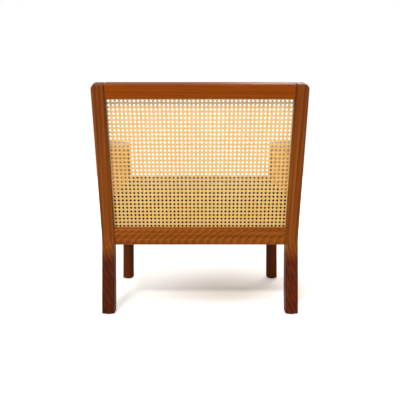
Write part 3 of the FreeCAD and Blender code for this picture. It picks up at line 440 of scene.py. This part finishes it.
def cut_to(outline, start, run):
    """The part of a straight line that lies inside a convex outline, as its two ends."""
    first, last = -10.0, 10.0
    for (ax, ay), (bx, by) in zip(outline, outline[1:] + outline[:1]):
        inward = (ay - by, bx - ax)
        depth = inward[0] * (start[0] - ax) + inward[1] * (start[1] - ay)
        slope = inward[0] * run[0] + inward[1] * run[1]
        if abs(slope) < 1e-9:
            if depth < 0:
                return None
        elif slope > 0:
            first = max(first, -depth / slope)
        else:
            last = min(last, -depth / slope)
    if last - first < CELL / 2:
        return None
    return [(start[0] + run[0] * t, start[1] + run[1] * t) for t in (first, last)]


def strand_plan(outline, cell, corner):
    """Straight strands of the four kinds, each with its side: +1 or -1, which way its wave starts."""
    wide, tall = cell
    slant = math.hypot(wide, tall)
    plan = {"up": [], "across": [], "rising": [], "falling": []}
    for i in range(-MOST_CELLS, MOST_CELLS + 1):
        for side in (-1, 1):
            plan["up"].append(((corner[0] + i * wide + side * HALF_PAIR, corner[1]), (0, 1), -side))
            plan["across"].append(((corner[0], corner[1] + i * tall + side * HALF_PAIR), (1, 0), side))
        crossing = (corner[0], corner[1] + (i + 0.5) * tall)
        plan["falling"].append((crossing, (wide / slant, -tall / slant), 1))
        plan["rising"].append((crossing, (wide / slant, tall / slant), -1))
    return {
        kind: [(cut, side) for cut, side in ((cut_to(outline, start, run), side) for start, run, side in lines) if cut]
        for kind, lines in plan.items()
    }


back_plane = panel_plane("back_cane", (1, 0, 0), UP_THE_BACK)
back_outline = panel_outline("back_cane", back_plane)
BACK_START = (0, 0.0028)
back_plan = strand_plan(back_outline, BACK_CELL, BACK_START)
print("back panel", [len(lines) for lines in back_plan.values()], "strands")

# %% [markdown]
# The node tree that makes strands from the plan. Its inputs are the width and thickness of a strand, how far it
# swings, how many waves it makes per metre in the two directions of the panel, where the wave starts, and how
# finely it is divided.

# %% The node tree of the strands
def strand_tree():
    tree = bpy.data.node_groups.new("cane_strands", "GeometryNodeTree")
    tree.is_modifier = True
    face = tree.interface
    face.new_socket("Geometry", in_out="INPUT", socket_type="NodeSocketGeometry")
    for name in ("Strand width", "Strand thickness", "Swing", "Phase", "Division"):
        face.new_socket(name, in_out="INPUT", socket_type="NodeSocketFloat")
    face.new_socket("Waves per metre", in_out="INPUT", socket_type="NodeSocketVector")
    face.new_socket("Finish", in_out="INPUT", socket_type="NodeSocketMaterial")
    face.new_socket("Geometry", in_out="OUTPUT", socket_type="NodeSocketGeometry")

    nodes = Nodes(tree)
    add, maths, join = nodes.add, nodes.maths, nodes.join
    given = add("NodeGroupInput").outputs
    lines = add("GeometryNodeMeshToCurve", Mesh=given["Geometry"])
    fine = add("GeometryNodeResampleCurve", {"mode": "LENGTH"}, Curve=lines.outputs["Curve"],
               Length=given["Division"])
    side = add("GeometryNodeInputNamedAttribute", {"data_type": "FLOAT"}, Name="side").outputs["Attribute"]
    number = add("GeometryNodeInputNamedAttribute", {"data_type": "FLOAT"}, Name="number").outputs["Attribute"]
    place = add("GeometryNodeInputPosition").outputs["Position"]
    dot = add("ShaderNodeVectorMath", {"operation": "DOT_PRODUCT"})
    join(place, dot.inputs[0])
    join(given["Waves per metre"], dot.inputs[1])
    angle = maths("ADD", maths("MULTIPLY", dot.outputs["Value"], 2 * math.pi), given["Phase"])
    lift = maths("MULTIPLY", maths("MULTIPLY", maths("SINE", angle), given["Swing"]), side)
    raised = add("GeometryNodeSetPosition", Geometry=fine.outputs["Curve"],
                 Offset=add("ShaderNodeCombineXYZ", Z=lift).outputs["Vector"])
    flat = add("GeometryNodeSetCurveNormal", {"mode": "Z_UP"}, Curve=raised.outputs["Geometry"])

    travelled = add("GeometryNodeSplineParameter")
    held = add("GeometryNodeCaptureAttribute")
    held.capture_items.new("FLOAT", "Length")
    held.capture_items.new("FLOAT", "Number")
    join(flat.outputs["Curve"], held.inputs[0])
    join(travelled.outputs["Length"], held.inputs["Length"])
    join(number, held.inputs["Number"])

    section = add("GeometryNodeCurvePrimitiveQuadrilateral", {"mode": "TRAPEZOID"}, Height=given["Strand thickness"])
    join(given["Strand width"], section.inputs["Bottom Width"])
    join(maths("MULTIPLY", given["Strand width"], 0.62), section.inputs["Top Width"])
    section.inputs["Offset"].default_value = 0.0
    around = add("GeometryNodeCaptureAttribute")
    around.capture_items.new("FLOAT", "Around")
    join(section.outputs["Curve"], around.inputs[0])
    join(add("GeometryNodeSplineParameter").outputs["Factor"], around.inputs["Around"])

    swept = add("GeometryNodeCurveToMesh", Curve=held.outputs[0], Profile_Curve=around.outputs[0], Fill_Caps=True)
    grain = add("ShaderNodeCombineXYZ", X=held.outputs["Length"], Y=around.outputs["Around"],
                Z=held.outputs["Number"])
    marked = add("GeometryNodeStoreNamedAttribute", {"data_type": "FLOAT_VECTOR", "domain": "POINT"},
                 Geometry=swept.outputs["Mesh"], Name="grain", Value=grain.outputs["Vector"])
    smooth = add("GeometryNodeSetShadeSmooth", Geometry=marked.outputs["Geometry"])
    whole = add("GeometryNodeRealizeInstances", Geometry=smooth.outputs["Geometry"])
    dressed = add("GeometryNodeSetMaterial", Geometry=whole.outputs["Geometry"], Material=given["Finish"])
    join(dressed.outputs["Geometry"], add("NodeGroupOutput").inputs["Geometry"])
    return tree


STRANDS = strand_tree()
print("strand tree", len(STRANDS.nodes), "nodes")

# %% [markdown]
# Now the strands are made, kind by kind. Each kind becomes a piece of its own, as each is a layer of the loom's
# work. A piece is evaluated once, kept as a plain mesh, and moved from the panel's plane into the chair.

# %% Weave the panels
def lines_mesh(name, cuts, seed):
    """Edges for the straight strands, each with its side and a number of its own."""
    dice = random.Random(seed)
    mesh = bpy.data.meshes.new(name)
    spots, edges, sides, numbers = [], [], [], []
    for (start, end), side in cuts:
        edges.append((len(spots), len(spots) + 1))
        spots += [(*start, 0), (*end, 0)]
        number = dice.uniform(0, 100)
        sides += [side, side]
        numbers += [number, number]
    mesh.from_pydata(spots, edges, [])
    mesh.attributes.new("side", "FLOAT", "POINT").data.foreach_set("value", sides)
    mesh.attributes.new("number", "FLOAT", "POINT").data.foreach_set("value", numbers)
    return mesh


def set_tree_inputs(modifier, tree, values):
    """Set a tree's inputs by the sockets' own names."""
    for item in tree.interface.items_tree:
        if item.item_type == "SOCKET" and item.in_out == "INPUT" and item.name in values:
            modifier[item.identifier] = values[item.name]


def in_scene(name, data):
    """A new object in the scene."""
    thing = bpy.data.objects.new(name, data)
    bpy.context.scene.collection.objects.link(thing)
    return thing


def keep_evaluated(draft, plane, name):
    """The evaluated draft as a plain mesh piece, moved into the chair by a plane's matrix."""
    graph = bpy.context.evaluated_depsgraph_get()
    mesh = bpy.data.meshes.new_from_object(draft.evaluated_get(graph))
    mesh.transform(plane)
    mesh.name = name
    bpy.data.objects.remove(draft)
    return in_scene(name, mesh)


def weave(name, cuts, plane, kind, cell, corner, finish, seed):
    """Strands of one kind as one piece."""
    draft = in_scene(name + "_draft", lines_mesh(name + "_lines", cuts, seed))
    modifier = draft.modifiers.new("strands", "NODES")
    modifier.node_group = STRANDS
    per_across, per_up = 1 / cell[0], 1 / cell[1]
    if kind == "up":
        waves, phase = (0, per_up, 0), -2 * math.pi * corner[1] * per_up
    else:
        waves, phase = (per_across, 0, 0), -2 * math.pi * corner[0] * per_across
    diagonal = kind in ("rising", "falling")
    set_tree_inputs(modifier, STRANDS, {
        "Strand width": STRAND_WIDTH,
        "Strand thickness": STRAND_THICKNESS,
        "Swing": DIAGONAL_SWING if diagonal else PAIR_SWING,
        "Phase": phase + (math.pi / 2 if diagonal else 0),
        "Division": CELL * (math.sqrt(2) if diagonal else 1) / 7,
        "Waves per metre": waves,
        "Finish": finish,
    })
    piece = keep_evaluated(draft, plane, name)
    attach(piece, "frame")
    return piece


def face_count(pieces):
    return sum(len(p.vertices) - 2 for piece in pieces for p in piece.data.polygons)


back_strands = [
    weave("back_cane_" + kind, cuts, back_plane, kind, BACK_CELL, BACK_START, back_finish, seed)
    for seed, (kind, cuts) in enumerate(back_plan.items())
]
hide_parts("back_cane")
print("back cane triangles", [face_count([piece]) for piece in back_strands])

# %% [markdown]
# The side panels are woven in the same way. They stand upright, so their strands run level and plumb, and the
# lattice starts at the corner between the arm and the front leg.

# %% Weave the sides
for node, seed in (("left_side_cane", 11), ("right_side_cane", 21)):
    plane = panel_plane(node, (0, 1, 0), (0, 0, 1))
    outline = panel_outline(node, plane)
    front_top = (min(x for x, y in outline) + PANEL_LAP, max(y for x, y in outline) - PANEL_LAP)
    plan = strand_plan(outline, (CELL, CELL), front_top)
    woven = [
        weave(node + "_" + kind, cuts, plane, kind, (CELL, CELL), front_top, side_finishes[node], seed + turn)
        for turn, (kind, cuts) in enumerate(plan.items())
    ]
    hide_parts(node)
    print(node, [len(lines) for lines in plan.values()], "strands,", face_count(woven), "triangles")

# %% [markdown]
# ## The seat cushion
#
# The cushion is taken to be a block of foam in a tight cover: a top and a bottom panel, and a band round the
# sides. Such a cover is cut a little small, so it bulges between its seams, and the seams gather the cloth.
#
# The start is a rounded block, a little smaller than the place it has on the seat. It gets an even mesh, a crown
# and sides that are drawn in a little. Then a cloth simulation swells it by pressure from inside, while the lines
# of the seams shrink. The simulation goes too far: every point of the cover moves more than 12 mm, and half of them
# about 60 mm or more. So each step is cut to 6 mm. The simulation gives its direction only, and the cap its length.
# The result is fitted into the space of the solid cushion.

# %% The cushion's place and start
def seat_plane():
    """From the cushion's own directions (across, to the back, up) to the chair."""
    low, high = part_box("seat_cushion_cover")
    middle = (Vector(low) + Vector(high)) / 2
    back = Vector((0, math.cos(SEAT_SLOPE), -math.sin(SEAT_SLOPE)))
    up = Vector((0, math.sin(SEAT_SLOPE), math.cos(SEAT_SLOPE)))
    return Matrix(((1, 0, 0, middle.x), (0, back.y, up.y, middle.y), (0, back.z, up.z, middle.z), (0, 0, 0, 1)))


SEAT = seat_plane()
room = [SEAT.inverted() @ v.co for v in NODES["seat_cushion_cover"].data.vertices]
room_low = Vector([min(p[i] for p in room) for i in range(3)])
room_high = Vector([max(p[i] for p in room) for i in range(3)])
print("cushion room", [round(v * 1000) for v in (*room_low, *room_high)])

CORNER_RADIUS = 0.024
START_GAP = 0.004
CROWN = 0.009


def rounded_block(low, high, radius, edge):
    """A closed block with upright corners of one radius and softened edges."""
    mesh = bpy.data.meshes.new("cushion_block")
    block = bmesh.new()
    bmesh.ops.create_cube(block, size=1)
    for vert in block.verts:
        vert.co = Vector([(low[i] + high[i]) / 2 + vert.co[i] * (high[i] - low[i]) for i in range(3)])
    upright = [e for e in block.edges if abs(e.verts[0].co.z - e.verts[1].co.z) > 0.02]
    bmesh.ops.bevel(block, geom=upright, offset=radius, segments=6, profile=0.5, affect="EDGES")
    level = [e for e in block.edges
             if len(e.link_faces) == 2 and {abs(round(f.normal.z)) for f in e.link_faces} == {0, 1}]
    bmesh.ops.bevel(block, geom=level, offset=edge, segments=3, profile=0.5, affect="EDGES")
    block.to_mesh(mesh)
    block.free()
    return mesh


start_low = room_low + Vector((START_GAP, START_GAP, START_GAP * 0.5))
start_high = room_high - Vector((START_GAP, START_GAP, START_GAP + CROWN))
cushion = in_scene("cushion_cover", rounded_block(start_low, start_high, CORNER_RADIUS, 0.007))

# %% [markdown]
# The remesh gives squares of 6 mm all over. After it, the panels are crowned and the sides drawn in a little, as
# on the solid. The points near the two seam lines are noted in a group: they shrink in the simulation.

# %% Remesh, crown and simulate
def apply_modifier(piece, modifier):
    """Apply one modifier by keeping the evaluated mesh."""
    graph = bpy.context.evaluated_depsgraph_get()
    mesh = bpy.data.meshes.new_from_object(piece.evaluated_get(graph))
    piece.modifiers.remove(modifier)
    old = piece.data
    piece.data = mesh
    bpy.data.meshes.remove(old)


remesh = cushion.modifiers.new("even_mesh", "REMESH")
remesh.mode = "VOXEL"
remesh.voxel_size = 0.006
remesh.use_smooth_shade = True
apply_modifier(cushion, remesh)

half_wide = (start_high.x - start_low.x) / 2
half_deep = (start_high.y - start_low.y) / 2
half_tall = (start_high.z - start_low.z) / 2
middle = (start_low + start_high) / 2
WAIST = 0.004
for vert in cushion.data.vertices:
    x, y, z = vert.co - middle
    across, along = 1 - (x / half_wide) ** 2, 1 - (y / half_deep) ** 2
    vert.co.x -= WAIST * x / half_wide * max(along, 0)
    vert.co.y -= WAIST * y / half_deep * max(across, 0)
    if z > 0:
        vert.co.z += CROWN * max(across, 0) ** 0.6 * max(along, 0) ** 0.6 * z / half_tall

before = [v.co.copy() for v in cushion.data.vertices]
SEAM_REACH = 0.009
STEPS = 20


def on_seam(point):
    """How near a point is to the top or the bottom seam line, from 0 to 1."""
    x, y, z = point - middle
    side = max(abs(x) - half_wide, abs(y) - half_deep)
    edge = math.hypot(min(side + 0.006, 0), abs(abs(z) - (half_tall - 0.003)))
    return max(0.0, 1 - edge / SEAM_REACH)


seam = cushion.vertex_groups.new(name="seam")
for vert, spot in zip(cushion.data.vertices, before):
    seam.add([vert.index], on_seam(spot), "REPLACE")
cloth = cushion.modifiers.new("swell", "CLOTH")
settings = cloth.settings
settings.quality = 6
settings.mass = 0.3
settings.tension_stiffness = settings.compression_stiffness = 18
settings.shear_stiffness = 6
settings.bending_stiffness = 0.6
settings.use_pressure = True
settings.uniform_pressure_force = 4
settings.vertex_group_shrink = "seam"
settings.shrink_min = 0.0
settings.shrink_max = 0.10
settings.effector_weights.gravity = 0
cloth.collision_settings.use_collision = False
cloth.point_cache.frame_start = 1
cloth.point_cache.frame_end = STEPS
for frame_number in range(1, STEPS + 1):
    bpy.context.scene.frame_set(frame_number)
apply_modifier(cushion, cloth)
bpy.context.scene.frame_set(1)

# %% [markdown]
# The cap cuts each step to 6 mm. Then the cover is fitted to the room that the solid has, direction by direction,
# and the underside is pressed flat where it lies on the webbing. The foam inside keeps its shape, so the cloth is
# held a little off its surface wherever a seam would pull it inwards. In front of the first strap the underside
# is lowered until it nearly meets the front rail, and dips a little between the two: no load is simulated.

# %% Cap the swelling and fit the cover
SWELL_CAP = 0.006
WADDING = 0.0015
moved = []
for vert, spot in zip(cushion.data.vertices, before):
    step = vert.co - spot
    moved.append(step.length)
    if step.length > 0:
        vert.co = spot + step * (SWELL_CAP * math.tanh(step.length / SWELL_CAP) / step.length)
print("free swelling", round(max(moved) * 1000, 1), "mm, capped at", round(SWELL_CAP * 1000, 1), "mm")

FIT_GAP = Vector((0.001, 0.001, 0.0005))
EDGE_KEPT, EDGE_FADE = 0.03, 0.05
UNDERSIDE, UNDERSIDE_RISE = -0.045, 0.002
fit_low = room_low + FIT_GAP
fit_high = room_high - FIT_GAP
now_low = Vector([min(v.co[i] for v in cushion.data.vertices) for i in range(3)])
now_high = Vector([max(v.co[i] for v in cushion.data.vertices) for i in range(3)])
for vert in cushion.data.vertices:
    for i in range(3):
        share = (vert.co[i] - now_low[i]) / (now_high[i] - now_low[i])
        vert.co[i] = fit_low[i] + share * (fit_high[i] - fit_low[i])
    x, y, z = vert.co - (fit_low + fit_high) / 2
    if z < 0:
        inner = min((fit_high.x - abs(x)), (fit_high.y - fit_low.y) / 2 - abs(y)) - EDGE_KEPT
        if inner > 0 and z < UNDERSIDE:
            vert.co.z += (fit_low.z + UNDERSIDE_RISE - vert.co.z) * min(inner / EDGE_FADE, 1)
print("cover before fitting", [round(v * 1000, 1) for v in (*now_low, *now_high)])


def ease(value, start, end):
    """0 before the start, 1 past the end, smooth between."""
    share = min(max((value - start) / (end - start), 0), 1)
    return share * share * (3 - 2 * share)


rail_top, rail_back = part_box("front_seat_rail")[1][2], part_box("front_seat_rail")[1][1]
strap_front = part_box("webbing_straps")[0][1]
SAG_FROM, SAG_FULL = 0.31, 0.34
SAG_HEIGHT = 0.04
RAIL_GAP = 0.0006
FRONT_DIP = 0.003
INSIDE_CORNERS = 0.28
swollen = BVHTree.FromPolygons([SEAT @ v.co for v in cushion.data.vertices],
                               [p.vertices for p in cushion.data.polygons])
for vert in cushion.data.vertices:
    spot = SEAT @ vert.co
    if spot.y > -SAG_FROM:
        continue
    below = Vector((min(max(spot.x, -INSIDE_CORNERS), INSIDE_CORNERS), max(spot.y, rail_back - 0.008), 0))
    underside = swollen.ray_cast(below, Vector((0, 0, 1)))[0].z
    forward = ease(-spot.y, SAG_FROM, SAG_FULL)
    low_down = min(max(1 - (spot.z - underside) / SAG_HEIGHT, 0), 1)
    vert.co.z -= max(underside - rail_top - RAIL_GAP, 0) * forward * low_down
    past_rail = ease(spot.y, rail_back + 0.002, rail_back + 0.010)
    before_strap = ease(-spot.y, 0.0015 - strap_front, 0.008 - strap_front)
    if vert.co.z < fit_low.z + 0.01:
        vert.co.z -= FRONT_DIP * (past_rail * before_strap)

foam = NODES["seat_cushion_core"].data
foam_shape = BVHTree.FromPolygons([SEAT.inverted() @ v.co for v in foam.vertices], [p.vertices for p in foam.polygons])
held, deepest = 0, 0.0
for vert in cushion.data.vertices:
    spot, outward, *_ = foam_shape.find_nearest(vert.co)
    depth = (vert.co - spot).dot(outward)
    if depth < WADDING:
        vert.co = spot + outward * WADDING
        held, deepest = held + 1, min(deepest, depth)
print("held off the foam", held, "of", len(cushion.data.vertices), "points, deepest", round(deepest * 1000, 1), "mm")

# %% [markdown]
# ## The seams
#
# A cord of the same cloth is sewn into both seams. The photo doesn't show them, so they are a guess at how such
# cushions are sewn. The cord follows the fitted cover: for each point of a rounded oblong at the height of the seam
# we look for the nearest point of the cover, and the cord runs through these.

# %% The piping in the seams
PIPING_RADIUS = 0.0024
SEAM_DROP = 0.012


def rounded_oblong(half_x, half_y, radius, count):
    """Points of an oblong with rounded corners, evenly by length, from the middle of its right side."""
    straight_x, straight_y, arc = 2 * (half_x - radius), 2 * (half_y - radius), math.pi / 2 * radius
    total = 2 * (straight_x + straight_y) + 4 * arc
    spots = []
    for i in range(count):
        walk = total * i / count + straight_y / 2
        for turn in range(4):
            straight = straight_y if turn % 2 == 0 else straight_x
            if walk < straight:
                spot = (half_x if turn % 2 == 0 else half_y, walk - straight / 2)
                break
            walk -= straight
            if walk < arc:
                angle = walk / radius
                reach_x = (half_x if turn % 2 == 0 else half_y) - radius
                spot = (reach_x + radius * math.cos(angle), straight / 2 + radius * math.sin(angle))
                break
            walk -= arc
        else:
            spot = (half_x, walk - straight_y / 2)
            turn = 0
        spots.append(Matrix.Rotation(turn * math.pi / 2, 2) @ Vector(spot))
    return spots


def piping(name, side, count=420):
    """A thin cord round the top (+1) or bottom (-1) seam of the cover."""
    surface = BVHTree.FromPolygons([v.co for v in cushion.data.vertices], [p.vertices for p in cushion.data.polygons])
    centre = (fit_low + fit_high) / 2
    half = (fit_high - fit_low) / 2
    height = centre.z + side * (half.z - SEAM_DROP) if side < 0 else fit_high.z - CROWN - SEAM_DROP * 0.6
    path = []
    for spot in rounded_oblong(half.x - 0.002, half.y - 0.002, CORNER_RADIUS, count):
        sought = Vector((centre.x + spot.x, centre.y + spot.y, height))
        found, normal, *_ = surface.find_nearest(sought)
        path.append(found + normal * PIPING_RADIUS * 0.15)
    rings = bmesh.new()
    sides, previous, first = 10, None, None
    for i, spot in enumerate(path):
        ahead = (path[(i + 1) % count] - path[i - 1]).normalized()
        out = ahead.cross(Vector((0, 0, 1))).normalized()
        up = out.cross(ahead)
        ring = [rings.verts.new(spot + (out * math.cos(a) + up * math.sin(a)) * PIPING_RADIUS)
                for a in (2 * math.pi * k / sides for k in range(sides))]
        first = first or ring
        if previous:
            for k in range(sides):
                rings.faces.new((previous[k], previous[(k + 1) % sides], ring[(k + 1) % sides], ring[k]))
        previous = ring
    for k in range(sides):
        rings.faces.new((previous[k], previous[(k + 1) % sides], first[(k + 1) % sides], first[k]))
    bmesh.ops.recalc_face_normals(rings, faces=rings.faces)
    mesh = bpy.data.meshes.new(name)
    rings.to_mesh(mesh)
    rings.free()
    mesh.shade_smooth()
    return in_scene(name, mesh)


pipings = [piping("cushion_top_piping", 1), piping("cushion_bottom_piping", -1)]
smooth = cushion.modifiers.new("smooth", "SUBSURF")
smooth.levels = smooth.render_levels = 1
apply_modifier(cushion, smooth)
cushion.data.shade_smooth()
for piece in (cushion, *pipings):
    piece.data.transform(SEAT)
print("cover triangles", face_count([cushion]), "piping triangles", face_count(pipings))

# %% [markdown]
# ## The wool
#
# The photo shows a dark navy cover; that it is wool is a guess. It is drawn as a weave of yarns in slightly
# different blues and charcoals. The weave has to run along each face of the cushion, also round the corners, so it
# is drawn three times, once for each direction, and the normal of the surface chooses among them.

# %% The fabric's finish
def wool_finish():
    tree = Tree("navy_wool")
    seated = tree.turned(turn=(SEAT_SLOPE, 0, 0))
    parts = tree.add("ShaderNodeSeparateXYZ", Vector=seated).outputs
    facing = tree.add("ShaderNodeSeparateXYZ", Vector=tree.add("ShaderNodeTexCoord").outputs["Normal"]).outputs
    yarn = 2 * math.pi / 0.0013

    def wave(axis):
        return tree.maths("SINE", tree.maths("MULTIPLY", parts[axis], yarn))

    def weight(axis):
        return tree.maths("POWER", tree.maths("ABSOLUTE", facing[axis]), 3.0)

    weave_total, weight_total = None, None
    for first, second, axis in (("X", "Y", "Z"), ("Y", "Z", "X"), ("X", "Z", "Y")):
        share = weight(axis)
        pattern = tree.maths("MULTIPLY", tree.maths("MULTIPLY", wave(first), wave(second)), share)
        weave_total = pattern if weave_total is None else tree.maths("ADD", weave_total, pattern)
        weight_total = share if weight_total is None else tree.maths("ADD", weight_total, share)
    woven = tree.maths("DIVIDE", weave_total, weight_total)
    yarns = tree.noise(tree.place, 900.0, 2.0, 0.6)
    patches = tree.noise(tree.place, 7.0, 4.0, 0.6)
    tone = tree.maths("ADD", tree.maths("MULTIPLY", yarns, 0.65), tree.maths("MULTIPLY", patches, 0.35))
    tone = tree.maths("ADD", tone, tree.maths("MULTIPLY", woven, 0.10))
    colour = tree.ramp(tone, [(0.30, (0.0025, 0.0030, 0.0060)), (0.50, (0.0065, 0.0075, 0.0145)),
                              (0.72, (0.0170, 0.0200, 0.0360))])
    height = tree.maths("ADD", tree.maths("MULTIPLY", woven, 0.5), yarns)
    return tree.finish(
        Base_Color=colour, Roughness=tree.level(yarns, 0.3, 0.7, 0.82, 0.96), Normal=tree.bump(height, 0.6, 0.0005),
        Sheen_Weight=0.15, Sheen_Roughness=0.5, Sheen_Tint=(0.35, 0.40, 0.60, 1), Specular_IOR_Level=0.25)


def foam_finish():
    tree = Tree("cushion_foam")
    cells = tree.add("ShaderNodeTexVoronoi", Vector=tree.place, Scale=700.0).outputs["Distance"]
    yellowing = tree.noise(tree.place, 9.0, 3.0)
    return tree.finish(Base_Color=tree.ramp(yellowing, [(0.3, (0.80, 0.70, 0.42)), (0.7, (0.88, 0.82, 0.60))]),
                       Roughness=tree.level(cells, 0.0, 0.5, 0.85, 0.98), Normal=tree.bump(cells, 0.5, 0.0004))


wool = wool_finish()
for piece in (cushion, *pipings):
    dress(piece.data, wool)
    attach(piece, "cushion")
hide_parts("seat_cushion_cover")

# The foam is the solid's own block, drawn in by 4 mm on each side to keep it clear of the cover.
FOAM_SQUEEZE = 0.004
foam_low, foam_high = (Vector(corner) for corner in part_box("seat_cushion_core"))
foam_middle = (foam_low + foam_high) / 2
squeezed = Vector([1 - 2 * FOAM_SQUEEZE / size for size in foam_high - foam_low])
foam_mesh = foam.copy()
for vert in foam_mesh.vertices:
    vert.co = foam_middle + Vector([part * share for part, share in zip(vert.co - foam_middle, squeezed)])
foam_block = in_scene("cushion_foam", foam_mesh)
dress(foam_mesh, foam_finish())
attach(foam_block, "cushion")
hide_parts("seat_cushion_core")

# %% [markdown]
# ## Light, floor and camera
#
# The photo's perspective puts the camera straight behind the chair, a little over half a metre high and, for a
# chair of this width, about 1.6 m behind the top rail. How the chair was lit isn't known. The three lights here and
# the white fill were placed and set by trial, until the mean colours of named regions came near to the photo's: a
# small key high behind the camera, so that the top rail shades the first rows of cane, a low light behind the
# camera, and a light from the front.
#
# The floor's glow was fitted by trial too. Only camera rays see it, and it is weakest near a point under the seat,
# so part of the shade on the floor is painted there and not cast by the chair.

# %% The studio
def soft_light(name, place, target, size, power):
    data = bpy.data.lights.new(name, "AREA")
    data.shape = "RECTANGLE"
    data.size, data.size_y = size
    data.energy = power
    light = in_scene(name, data)
    light.location = place
    light.rotation_euler = (Vector(target) - Vector(place)).to_track_quat("-Z", "Y").to_euler()


# name, place, target, size, power
soft_light("studio_key", (0.9, 3.9, 3.2), (0, 0, 0.4), (1.0, 0.5), 200)
soft_light("studio_back", (0.4, 4.2, 1.2), (0, 0.2, 0.3), (2.0, 1.0), 30)
soft_light("studio_front", (-1.2, -2.6, 2.4), (0, 0, 0.4), (1.6, 1.6), 45)

# The camera, mirrors and clear things see the surroundings at 1, which is white. They light the chair with less.
SEEN_WHITE, FILL = 1.0, 0.62
world = bpy.data.worlds.new("white_studio")
bpy.context.scene.world = world
world.use_nodes = True
sky = Nodes(world.node_tree)
sky.tree.nodes.clear()
rays = sky.add("ShaderNodeLightPath").outputs
seen = sky.maths("MAXIMUM", sky.maths("MAXIMUM", rays["Is Camera Ray"], rays["Is Glossy Ray"]),
                 rays["Is Transmission Ray"])
blend = sky.add("ShaderNodeMixShader", Fac=seen)
for socket, strength in zip(blend.inputs[1:], (FILL, SEEN_WHITE)):
    sky.join(sky.add("ShaderNodeBackground", Color=(1, 1, 1, 1), Strength=strength).outputs[0], socket)
sky.add("ShaderNodeOutputWorld", Surface=blend.outputs[0])

# The floor's glow: where it is weakest, how much faster it grows to the back and slower to the front, its reach,
# and its colours on the way there.
GLOW_MIDDLE = (-0.12, -0.10)
GLOW_BACK, GLOW_FRONT = 2.3, 0.7
GLOW_REACH = 2.0
GLOW = [
    (0.02, (0.14, 0.10, 0.065)), (0.07, (0.215, 0.18, 0.15)), (0.12, (0.32, 0.29, 0.27)),
    (0.18, (0.45, 0.43, 0.42)), (0.5, (0.65, 0.64, 0.63)), (1.0, (1.0, 1.0, 1.0))]


def floor_finish():
    """A matt floor with a glow for the camera only: white further off, and fitted near the chair."""
    tree = Tree("studio_floor")
    cloudy = tree.noise(tree.place, 1.5, 2.0)
    ray = tree.add("ShaderNodeLightPath").outputs["Is Camera Ray"]
    from_middle = tree.turned(shift=(-GLOW_MIDDLE[0], -GLOW_MIDDLE[1], 0))
    parts = tree.add("ShaderNodeSeparateXYZ", Vector=from_middle).outputs
    fore_and_aft = tree.maths("MAXIMUM", tree.maths("MULTIPLY", parts["Y"], GLOW_BACK),
                              tree.maths("MULTIPLY", parts["Y"], -GLOW_FRONT))
    away = tree.maths("SQRT", tree.maths("ADD", tree.maths("MULTIPLY", parts["X"], parts["X"]),
                                         tree.maths("MULTIPLY", fore_and_aft, fore_and_aft)))
    tint = tree.ramp(tree.level(away, 0.0, GLOW_REACH), GLOW)
    glow = tree.add("ShaderNodeEmission", Color=tint, Strength=ray)
    both = tree.add("ShaderNodeAddShader")
    tree.join(tree.shader.outputs["BSDF"], both.inputs[0])
    tree.join(glow.outputs[0], both.inputs[1])
    tree.join(both.outputs[0], tree.output.inputs["Surface"])
    return tree.finish(Base_Color=tree.ramp(cloudy, [(0.3, (0.79, 0.75, 0.70)), (0.7, (0.81, 0.77, 0.72))]),
                       Roughness=0.9, Specular_IOR_Level=0.1)


floor_mesh = bpy.data.meshes.new("studio_floor")
floor_mesh.from_pydata([(-9, -9, 0), (9, -9, 0), (9, 9, 0), (-9, 9, 0)], [], [(0, 1, 2, 3)])
floor_mesh.materials.append(floor_finish())
floor = in_scene("studio_floor", floor_mesh)

lens = bpy.data.cameras.new("photo_camera")
lens.sensor_width = 36
lens.lens = 49.04  # the photo's 544.9 pixels of 400, on a sensor of 36 mm
lens.shift_y = -0.129  # the photo's horizon is 51.6 of 400 pixels above its middle
camera = in_scene("photo_camera", lens)
camera.location = (0, 2.0078, 0.560)
camera.rotation_euler = (math.radians(90), 0, math.radians(180))
bpy.context.scene.camera = camera
bpy.context.scene.view_settings.view_transform = "Standard"
